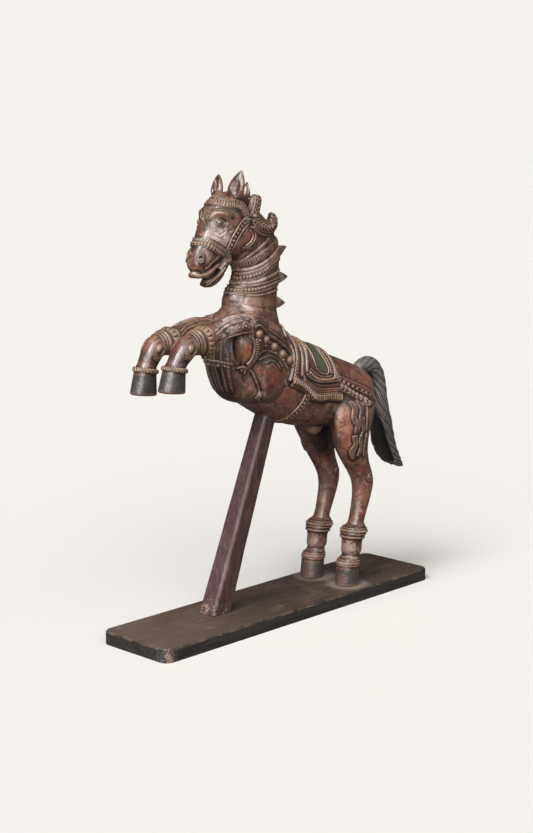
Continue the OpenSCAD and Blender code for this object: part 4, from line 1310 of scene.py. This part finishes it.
def crest():
    piece = Piece(*small_surface("crest_leaf", 0.8))
    for y in (-5, 0, 5):
        piece.score([(-92, y, 790), (-92, y * 0.8, 800), (-86, y * 0.3, 811)], 1.0, 1.2)
    piece.set_skin()
    for s in SIDES:
        line = [(-84, s * 9, 792), (-82, s * 9, 800), (-79, s * 4, 811)]
        ribbon(piece, line, 1.4, pipe(1.6), fine=0.7)
    # A painted sheen, a painted highlight on the crest
    piece.brush((-84, 0, 800), (16, 14, 20), PAINTED_SHEEN, 0.4)
    return piece


# Each leaf of the mane from its root to its tip, as (x, z, x, z)
TUFTS = {"mane_tuft_top": (-7, 683, 27, 694), "mane_tuft_middle": (-7, 638, 31, 638),
         "mane_tuft_lower": (-12, 593, 24, 589)}


def tuft(name, row):
    piece = Piece(*small_surface(name, 0.8))
    x0, z0, x1, z1 = row
    for s in SIDES:
        for lean in (-6, -2, 2, 6):
            line = [(x0 + (x1 - x0) * t, s * 8 * (1 - t * 0.7), z0 + (z1 - z0) * t + lean * (1 - t))
                    for t in (0.05, 0.35, 0.65, 0.92)]
            piece.score(line, 1.2, 1.2)
    # A painted sheen, a painted highlight on the leaf
    piece.brush(((x0 + x1) / 2, 0, (z0 + z1) / 2), 18, PAINTED_SHEEN, 0.45)
    return piece


def bow(name, side):
    """One side's loops: bordered straps with a running scroll between the borders."""
    piece = Piece(*small_surface(name, 0.9))
    piece.set_skin()
    upper = [(-104, 758), (-101, 770), (-97, 784), (-96, 793)]
    lower = [(-104, 753), (-93, 743), (-76, 735), (-60, 736), (-53, 748), (-57, 759)]
    loop_x, loop_z = -73, 752
    for face in (1, -1):
        for rows, across in ((upper, 8.0), (lower, 9.5)):
            middle = piece.cast([(x, side * 40 + face * 25, z) for x, z in rows], (0.0, -face, 0), 50)
            ribbon(piece, middle, across, framed(ribs(2.6, 7.0, 0.4, bow=-0.8), 2.6, 0.22), gild=0.35,
                   lift=6)
    for outward in (9.5, 13.5):
        ring = []
        for x, z in lower[1:-1]:
            away = unit(np.array([x - loop_x, z - loop_z]))
            ring.append((x + away[0] * outward, side * 40, z + away[1] * outward))
        ribbon(piece, ring, 4.4, ribs(1.6, 5.0, 0.4), gild=0.3, lift=5)
    medal(piece, (-104, side * 50, 756), 6.0, knop(3.2), paint=(*GREEN, 0.8), gild=0.2)
    return piece


# How far the post's axis lies inside its box at either end, and how far its foot is off the middle
POST_INSET = 24
POST_FOOT_Y = 12.0
# The lean of its grain in degrees
POST_LEAN = 14.5


def post():
    """The prop, dented along its length, with chips out of its foot."""
    piece = Piece(*small_surface("prop_post", 1.5))
    p = piece.points
    low, high = (np.array(corner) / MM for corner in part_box("prop_post"))
    foot = np.array([low[0] + POST_INSET, POST_FOOT_Y, low[2]])
    lean = unit(np.array([high[0] - POST_INSET, 0, high[2]]) - foot)
    along = (p - foot) @ lean
    stretched = p - foot - along[:, None] * lean * 0.86
    dents = lattice(stretched, 41, 9) * 0.35 + lattice(stretched, 42, 3.5) * 0.22
    chips = -1.6 * smooth((lattice(p, 43, 8) - 0.35) / 0.4) * smooth((34 - along) / 20)
    inner = smooth((along - 2) / 3)
    piece.push((dents + chips) * inner)
    return piece


# ---- Materials ----

class Shader:
    """A short way to write node trees."""
    def __init__(self, name):
        self.material = bpy.data.materials.new(name)
        self.material.use_nodes = True
        self.tree = self.material.node_tree
        self.tree.nodes.clear()
        self.out = self.node("ShaderNodeOutputMaterial")
        self.surface = self.node("ShaderNodeBsdfPrincipled")
        self.tree.links.new(self.surface.outputs[0], self.out.inputs["Surface"])

    def node(self, kind, **settings):
        n = self.tree.nodes.new(kind)
        for key, value in settings.items():
            setattr(n, key, value)
        return n

    def feed(self, socket, value):
        if hasattr(value, "is_output"):
            self.tree.links.new(value, socket)
        elif value is not None:
            socket.default_value = value

    def position(self, stretch=(1, 1, 1), turn=(0, 0, 0)):
        place = self.node("ShaderNodeMapping")
        self.feed(place.inputs["Vector"], self.node("ShaderNodeTexCoord").outputs["Object"])
        place.inputs["Scale"].default_value = stretch
        place.inputs["Rotation"].default_value = [math.radians(a) for a in turn]
        return place.outputs[0]

    def axes(self):
        split = self.node("ShaderNodeSeparateXYZ")
        self.feed(split.inputs[0], self.node("ShaderNodeTexCoord").outputs["Object"])
        return split.outputs

    def attribute(self, name, output="Fac"):
        return self.node("ShaderNodeAttribute", attribute_name=name).outputs[output]

    def noise(self, at, scale, detail=4.0, rough=0.55, distortion=0.0):
        n = self.node("ShaderNodeTexNoise")
        self.feed(n.inputs["Vector"], at)
        n.inputs["Scale"].default_value = scale
        n.inputs["Detail"].default_value = detail
        n.inputs["Roughness"].default_value = rough
        n.inputs["Distortion"].default_value = distortion
        return n.outputs["Fac"]

    def ramp(self, value, low, high):
        """0 at low and 1 at high, with a soft step. low may be above high."""
        n = self.node("ShaderNodeMapRange", interpolation_type="SMOOTHSTEP")
        flip = low > high
        self.feed(n.inputs["Value"], value)
        n.inputs["From Min"].default_value = min(low, high)
        n.inputs["From Max"].default_value = max(low, high)
        n.inputs["To Min"].default_value = 1.0 if flip else 0.0
        n.inputs["To Max"].default_value = 0.0 if flip else 1.0
        return n.outputs["Result"]

    def math(self, kind, a, b=None):
        n = self.node("ShaderNodeMath", operation=kind)
        self.feed(n.inputs[0], a)
        self.feed(n.inputs[1], b)
        return n.outputs[0]

    def times(self, *values):
        total = values[0]
        for value in values[1:]:
            total = self.math("MULTIPLY", total, value)
        return total

    def plus(self, a, b):
        return self.math("ADD", a, b)

    def blend(self, a, share, b, rest):
        """Two values added, each by its own share."""
        return self.plus(self.times(a, share), self.times(b, rest))

    def mix(self, share, a, b):
        n = self.node("ShaderNodeMix", data_type="RGBA")
        self.feed(n.inputs["Factor"], share)
        self.feed(n.inputs[6], (*a, 1) if isinstance(a, tuple) else a)
        self.feed(n.inputs[7], (*b, 1) if isinstance(b, tuple) else b)
        return n.outputs[2]

    def coats(self, colour, *rows):
        """Lays coats on a colour. Each is (source, none at, full at, strength, colour)."""
        for source, low, high, strength, coat in rows:
            share = self.ramp(source, low, high)
            colour = self.mix(self.times(share, strength) if strength < 1 else share, colour, coat)
        return colour

    def span(self, value, low, high):
        """A number from low to high as value goes from 0 to 1."""
        n = self.node("ShaderNodeMapRange")
        self.feed(n.inputs["Value"], value)
        n.inputs["To Min"].default_value = low
        n.inputs["To Max"].default_value = high
        return n.outputs["Result"]

    def bump(self, height, distance, strength=1.0, below=None):
        n = self.node("ShaderNodeBump")
        n.inputs["Strength"].default_value = strength
        n.inputs["Distance"].default_value = distance
        self.feed(n.inputs["Height"], height)
        self.feed(n.inputs["Normal"], below)
        return n.outputs[0]

    def finish(self, colour, roughness, normal, **fixed):
        self.feed(self.surface.inputs["Base Color"], colour)
        self.feed(self.surface.inputs["Roughness"], roughness)
        self.feed(self.surface.inputs["Normal"], normal)
        for key, value in fixed.items():
            self.surface.inputs[key.replace("_", " ")].default_value = value
        return self.material


def carved_wood():
    """Old polychrome: varnish darkened over red-brown wood, mottled, and worn to ochre on the high points,
    with painted shade in the hollows and beside trim.
    """
    s = Shader("carved_wood")
    at = s.position()
    grain = s.noise(s.position((70, 70, 10), (0, 22, 0)), 6, 6, 0.6, 0.4)
    cloud = s.noise(at, 16, 5, 0.6)
    patch = s.noise(at, 60, 7, 0.70, 0.5)
    other = s.noise(s.position((1, 1, 1), (40, 10, 70)), 46, 7, 0.70, 0.6)
    speck = s.noise(at, 250, 4, 0.7)
    fine, broad, shade_and_smudge = s.attribute("Fine"), s.attribute("Broad"), s.attribute("ShadeAndSmudge")
    colour = s.mix(s.ramp(cloud, 0.36, 0.64), (0.058, 0.023, 0.016), (0.175, 0.082, 0.054))
    colour = s.coats(colour, (patch, 0.52, 0.60, 0.75, (0.270, 0.155, 0.108)))
    scrape = s.noise(s.position((150, 150, 22), (0, 22, 10)), 2.4, 5, 0.7, 0.8)
    colour = s.coats(colour, (scrape, 0.56, 0.66, 0.55, (0.330, 0.215, 0.160)),
                     (scrape, 0.42, 0.34, 0.75, (0.022, 0.012, 0.009)),
                     (other, 0.56, 0.63, 0.75, (0.160, 0.034, 0.020)),
                     (other, 0.46, 0.38, 0.85, (0.024, 0.013, 0.010)),
                     (speck, 0.54, 0.70, 0.55, (0.33, 0.225, 0.175)))
    strength = s.attribute("Paint", "Alpha")
    breaks = s.blend(patch, 0.55, speck, 0.45)
    broken = s.math("MINIMUM", s.times(strength, s.ramp(breaks, 0.43, 0.57), 1.1), 1.0)
    solid = s.times(s.ramp(strength, 0.88, 0.96), s.span(s.ramp(breaks, 0.36, 0.46), 0.55, 0.94))
    colour = s.mix(s.math("MAXIMUM", broken, solid), colour, s.attribute("Paint", "Color"))
    high = s.ramp(fine, -0.01, -0.16)
    colour = s.mix(s.times(high, s.ramp(patch, 0.34, 0.58), 0.5), colour, (0.235, 0.140, 0.088))
    gild = s.times(s.attribute("Gild"), s.ramp(fine, 0.08, -0.12), s.ramp(speck, 0.32, 0.60), 0.85)
    colour = s.mix(gild, colour, (0.225, 0.138, 0.068))
    # Painted shade in the hollows, small and wide, as if light did not reach there; the smallest also hold
    # grime
    colour = s.coats(colour, (fine, 0.015, 0.17, 0.92, (0.009, 0.006, 0.005)),
                     (broad, 0.2, 1.2, 0.85, (0.012, 0.007, 0.006)))
    # Painted shade, with some smudge, beside trim
    colour = s.mix(s.times(shade_and_smudge, 0.85), colour, (0.012, 0.008, 0.007))
    colour = s.coats(colour, (grain, 0.42, 0.25, 0.45, (0.026, 0.014, 0.011)))
    rough = s.span(s.blend(patch, 0.6, grain, 0.4), 0.22, 0.52)
    rough = s.math("MAXIMUM", rough, s.times(high, 0.58))
    tooth = s.blend(grain, 0.8, speck, 0.6)
    normal = s.bump(s.noise(at, 75, 4, 0.55), 0.0030, 0.8, s.bump(tooth, 0.0008, 0.8))
    return s.finish(colour, rough, normal, Specular_IOR_Level=0.7, Coat_Weight=0.5, Coat_Roughness=0.20)


def blackened_wood():
    """Wood painted black, worn to brown in places, its ridges partly rubbed grey and partly given a painted
    highlight, with painted shade in its hollows.
    """
    s = Shader("blackened_wood")
    at = s.position()
    strand = s.noise(s.position((30, 30, 9), (0, -20, 0)), 9, 5, 0.6, 0.3)
    patch = s.noise(at, 40, 5, 0.65, 0.3)
    speck = s.noise(at, 220, 4, 0.7)
    fine, broad = s.attribute("Fine"), s.attribute("Broad")
    colour = s.mix(s.ramp(strand, 0.35, 0.65), (0.030, 0.027, 0.028), (0.060, 0.052, 0.052))
    # The ridge coat is partly rubbed grey and partly a painted highlight; the last two coats are painted
    # shade in the hollows
    colour = s.coats(colour, (patch, 0.56, 0.70, 0.6, (0.095, 0.062, 0.048)),
                     (fine, -0.01, -0.16, 0.75, (0.190, 0.160, 0.150)),
                     (fine, 0.02, 0.25, 0.9, (0.009, 0.008, 0.008)),
                     (broad, 0.3, 1.6, 0.8, (0.010, 0.009, 0.009)))
    # Painted shade, with some smudge, in the tail's hollow
    colour = s.mix(s.times(s.attribute("ShadeAndSmudge"), 0.9), colour, (0.009, 0.008, 0.008))
    rough = s.span(s.blend(patch, 0.5, strand, 0.5), 0.32, 0.58)
    normal = s.bump(s.plus(strand, s.times(speck, 0.6)), 0.0009, 0.8)
    return s.finish(colour, rough, normal, Specular_IOR_Level=0.6)


def post_timber():
    """Dark stained square timber with a light line along its worn chamfers, partly wear and partly a painted
    highlight, and painted shade in its dents.
    """
    s = Shader("post_timber")
    at = s.position()
    lean = (0, POST_LEAN, 0)
    grain = s.noise(s.position((110, 110, 5), lean), 2.2, 7, 0.65, 0.5)
    pores = s.noise(s.position((400, 400, 22), lean), 2.0, 4, 0.7)
    patch = s.noise(at, 24, 5, 0.65, 0.4)
    speck = s.noise(at, 260, 4, 0.7)
    fine, broad = s.attribute("Fine"), s.attribute("Broad")
    colour = s.mix(s.ramp(grain, 0.35, 0.65), (0.040, 0.021, 0.021), (0.080, 0.044, 0.042))
    colour = s.coats(colour, (patch, 0.52, 0.68, 0.6, (0.115, 0.065, 0.055)),
                     (pores, 0.56, 0.72, 0.6, (0.018, 0.010, 0.010)))
    # The light chamfer line is partly wear and partly a painted highlight
    edge = s.times(s.ramp(broad, -0.45, -0.95), s.ramp(patch, 0.34, 0.56))
    colour = s.mix(s.times(edge, 0.55), colour, (0.22, 0.16, 0.15))
    up = s.axes()[2]
    worn = s.ramp(s.blend(patch, 0.5, speck, 0.5), 0.50, 0.60)
    foot = s.times(s.ramp(up, 0.075, 0.028), worn)
    colour = s.mix(s.times(foot, 0.85), colour, (0.33, 0.235, 0.175))
    # Painted shade in the dents
    colour = s.coats(colour, (fine, 0.03, 0.25, 0.8, (0.012, 0.008, 0.008)))
    rough = s.span(s.blend(grain, 0.5, patch, 0.5), 0.30, 0.58)
    normal = s.bump(s.plus(grain, s.times(pores, 0.6)), 0.0011, 0.8)
    return s.finish(colour, rough, normal, Specular_IOR_Level=0.5)


# Where the pale filler round a hind hoof starts to fade and where it ends, in metres from its middle
FILLER_RING = (0.027, 0.050)
# How far in from the plank's edge its rubbed arris starts to fade and where it ends
ARRIS = (0.001, 0.0045)


def stained_plank():
    """A plank stained brown-black: dusty on top, rubbed bare along its arrises and at one corner, and painted
    lighter toward its low-x end as if lit from there.
    """
    s = Shader("stained_plank")
    at = s.position()
    low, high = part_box("base_board")
    x, y, z = s.axes()
    grain = s.noise(s.position((6, 90, 60)), 1.6, 7, 0.65, 0.6)
    pores = s.noise(s.position((28, 420, 300)), 1.6, 4, 0.7)
    dust = s.noise(s.position((1, 1.6, 1)), 11, 6, 0.68, 0.5)
    blot = s.noise(at, 38, 6, 0.7, 0.6)
    speck = s.noise(at, 260, 4, 0.7)
    colour = s.mix(s.ramp(grain, 0.30, 0.70), (0.033, 0.021, 0.015), (0.060, 0.039, 0.028))
    # The second coat is painted light: the top grows paler toward the plank's low-x end, as if lit there
    colour = s.coats(colour, (dust, 0.48, 0.68, 0.45, (0.105, 0.075, 0.058)),
                     (x, 0.0, low[0], 0.38, (0.150, 0.110, 0.085)),
                     (blot, 0.60, 0.72, 0.5, (0.21, 0.165, 0.13)),
                     (blot, 0.42, 0.30, 0.6, (0.030, 0.021, 0.016)),
                     (pores, 0.58, 0.72, 0.5, (0.020, 0.014, 0.011)))
    inner, outer = FILLER_RING
    for side in SIDES:
        dx, dy = s.math("SUBTRACT", x, HIND_HOOF_X * MM), s.math("SUBTRACT", y, side * STANCE * MM)
        spread = s.ramp(s.plus(s.times(dx, dx), s.times(dy, dy)), outer ** 2, inner ** 2)
        filler = s.times(spread, s.span(dust, 0.25, 0.95))
        colour = s.mix(filler, colour, (0.235, 0.190, 0.155))
    flank_share = s.ramp(z, high[2] - 0.0012, high[2] - 0.0030)
    flank = s.mix(s.ramp(grain, 0.35, 0.65), (0.016, 0.014, 0.013), (0.034, 0.030, 0.028))
    colour = s.mix(flank_share, colour, flank)
    near_edge = []
    for value, axis in ((y, 1), (x, 0)):
        half = (high[axis] - low[axis]) / 2
        away = s.math("ABSOLUTE", s.math("SUBTRACT", value, (low[axis] + high[axis]) / 2))
        near_edge.append(s.ramp(away, half - ARRIS[1], half - ARRIS[0]))
    rim = s.math("MAXIMUM", *near_edge)
    arris = s.times(rim, s.ramp(z, high[2] - 0.0050, high[2] - 0.0020), s.ramp(blot, 0.44, 0.58))
    colour = s.mix(s.times(arris, 0.8), colour, (0.17, 0.125, 0.095))
    nearness = s.plus(s.math("SUBTRACT", low[0] + 0.030, x), s.math("SUBTRACT", low[1] + 0.020, y))
    corner = s.ramp(nearness, 0.020, 0.045)
    bare = s.times(corner, s.ramp(s.blend(blot, 0.5, speck, 0.5), 0.46, 0.54))
    colour = s.mix(s.times(bare, 0.85), colour, (0.30, 0.22, 0.165))
    rough = s.span(s.blend(dust, 0.6, pores, 0.4), 0.36, 0.74)
    scratch = s.noise(s.position((3, 60, 60), (0, 0, 24)), 5, 3, 0.5)
    normal = s.bump(s.plus(grain, s.blend(pores, 0.6, scratch, 0.4)), 0.0012, 0.7)
    return s.finish(colour, rough, normal, Specular_IOR_Level=0.45)


def dowel_wood():
    s = Shader("dowel_wood")
    grain = s.noise(s.position((60, 60, 60)), 4, 5, 0.6, 0.8)
    colour = s.mix(s.ramp(grain, 0.35, 0.65), (0.34, 0.22, 0.12), (0.50, 0.36, 0.21))
    return s.finish(colour, s.span(grain, 0.5, 0.75), s.bump(grain, 0.0005, 0.6))


def screw_steel():
    s = Shader("screw_steel")
    wear = s.noise(s.position(), 420, 5, 0.65)
    colour = s.mix(s.ramp(wear, 0.4, 0.65), (0.34, 0.33, 0.31), (0.16, 0.12, 0.09))
    return s.finish(colour, s.span(wear, 0.28, 0.6), s.bump(wear, 0.0003, 0.5), Metallic=0.9)


# ---- Stage ----

CAMERA_AT = (-2.1222, -2.0051, 0.9110)
VIEW_AZIMUTH = -46.26
VIEW_ELEVATION = 10.38
LENS = 68.2
# Each lamp is a name, the heading and elevation it shines along, its strength and its spread in degrees.
LAMPS = [("key", -82, 50, 2.5, 24)]
AMBIENT = 0.07
# Each soft box is the way to it, the cosines where it starts and where it is full, and its strength.
SOFT_BOXES = [((-0.70, -0.45, 0.55), 0.76, 0.96, 5.2), ((0.10, -0.75, 0.60), 0.75, 0.98, 1.1)]
# The backdrop and the floor as the camera sees them, and the floor as it lights the object
PAPER = (0.913, 0.888, 0.847)
FLOOR_WHITE = (0.576, 0.564, 0.543)
FLOOR_BOUNCE = (0.06, 0.055, 0.05)
FLOOR_RADIUS = 40


def aim(obj, azimuth, elevation):
    """Turns a camera or lamp to look along a heading: azimuth 0 looks along +Y, 90 along -X."""
    obj.rotation_euler = (math.radians(90 - elevation), 0, math.radians(azimuth))


def studio():
    camera = place_in_scene("Camera", bpy.data.cameras.new("Camera"))
    camera.data.lens = LENS
    camera.location = CAMERA_AT
    aim(camera, VIEW_AZIMUTH, VIEW_ELEVATION)
    bpy.context.scene.camera = camera

    floor_mesh = bpy.data.meshes.new("floor")
    rim = [(FLOOR_RADIUS * math.cos(a), FLOOR_RADIUS * math.sin(a), 0) for a in turns(64)]
    floor_mesh.from_pydata(rim, [], [list(range(64))])
    floor = place_in_scene("floor", floor_mesh)
    floor.data.materials.append(floor_finish())

    for name, azimuth, elevation, power, spread in LAMPS:
        lamp = place_in_scene(name, bpy.data.lights.new(name, "SUN"))
        lamp.data.energy = power
        lamp.data.angle = math.radians(spread)
        aim(lamp, azimuth, elevation)
    surroundings()
    bpy.context.scene.view_settings.view_transform = "Standard"


def surroundings():
    """Soft boxes that light the object, behind an even backdrop that only the camera sees."""
    world = bpy.data.worlds.new("studio")
    bpy.context.scene.world = world
    world.use_nodes = True
    nodes, links = world.node_tree.nodes, world.node_tree.links
    light = nodes["Background"]
    light.inputs["Color"].default_value = (1.0, 0.99, 0.975, 1)
    place = nodes.new("ShaderNodeTexCoord")
    total = None
    for direction, start, end, strength in SOFT_BOXES:
        dot = nodes.new("ShaderNodeVectorMath")
        dot.operation = "DOT_PRODUCT"
        dot.inputs[1].default_value = unit(np.array(direction, float))
        links.new(place.outputs["Generated"], dot.inputs[0])
        lobe = nodes.new("ShaderNodeMapRange")
        lobe.interpolation_type = "SMOOTHSTEP"
        lobe.inputs["From Min"].default_value = start
        lobe.inputs["From Max"].default_value = end
        lobe.inputs["To Max"].default_value = strength
        links.new(dot.outputs["Value"], lobe.inputs["Value"])
        join = nodes.new("ShaderNodeMath")
        join.inputs[1].default_value = AMBIENT
        links.new(lobe.outputs["Result"], join.inputs[0])
        if total is not None:
            links.new(total, join.inputs[1])
        total = join.outputs[0]
    links.new(total, light.inputs["Strength"])
    wall = nodes.new("ShaderNodeBackground")
    wall.inputs["Color"].default_value = (*PAPER, 1)
    wall.inputs["Strength"].default_value = 1.0
    path = nodes.new("ShaderNodeLightPath")
    pick = nodes.new("ShaderNodeMixShader")
    links.new(path.outputs["Is Camera Ray"], pick.inputs[0])
    links.new(light.outputs[0], pick.inputs[1])
    links.new(wall.outputs[0], pick.inputs[2])
    links.new(pick.outputs[0], nodes["World Output"].inputs["Surface"])


def floor_finish():
    """Pale paper, which bounces little light back up at the object."""
    s = Shader("floor_paper")
    tooth = s.noise(s.position(), 300, 3)
    s.finish((*FLOOR_WHITE, 1), s.span(tooth, 0.9, 0.98), s.bump(tooth, 0.0003, 0.05), Specular_IOR_Level=0.0)
    dim = s.node("ShaderNodeBsdfDiffuse")
    dim.inputs["Color"].default_value = (*FLOOR_BOUNCE, 1)
    pick = s.node("ShaderNodeMixShader")
    s.feed(pick.inputs[0], s.node("ShaderNodeLightPath").outputs["Is Camera Ray"])
    s.feed(pick.inputs[1], dim.outputs[0])
    s.feed(pick.inputs[2], s.surface.outputs[0])
    s.feed(s.out.inputs["Surface"], pick.outputs[0])
    return s.material


# ---- Assembly ----

DRESS = {
    "head": dress_head, "neck": dress_neck, "torso": dress_torso,
    "foreleg_left_upper": lambda p: dress_upper_arm(p, LEFT),
    "foreleg_right_upper": lambda p: dress_upper_arm(p, RIGHT),
    "foreleg_left_lower": lambda p: dress_shank(p, LEFT),
    "foreleg_right_lower": lambda p: dress_shank(p, RIGHT),
    "hindleg_left": lambda p: dress_hind(p, LEFT),
    "hindleg_right": lambda p: dress_hind(p, RIGHT),
}


def main():
    wood, black = carved_wood(), blackened_wood()
    body, beyond = blended_body()
    forms = large_forms()
    for name in BLOCKS:
        piece = Piece(*block_surface(name, body, beyond, forms))
        if name == "torso":
            raise_saddle(piece)
        if name == "tail":
            comb_tail(piece)
        if name in DRESS:
            piece.set_skin()
            DRESS[name](piece)
        tail = name == "tail"
        build("carved_" + name, piece, black if tail else wood, name)
    small = {"ear_left": ear("ear_left", LEFT, 42), "ear_right": ear("ear_right", RIGHT, 34),
             "crest_leaf": crest(), "bow_left": bow("bow_left", LEFT), "bow_right": bow("bow_right", RIGHT)}
    small.update({name: tuft(name, row) for name, row in TUFTS.items()})
    for name, piece in small.items():
        build("carved_" + name, piece, wood, name)
    build("worn_prop_post", post(), post_timber(), "prop_post")
    plain = {"base_board": stained_plank(), "base_screws": screw_steel()}
    pegs = dowel_wood()
    plain.update({name: pegs for name in PEGS if name != "base_screws"})
    for name, material in plain.items():
        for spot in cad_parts[name].material_slots:
            spot.material = material
    studio()


main()
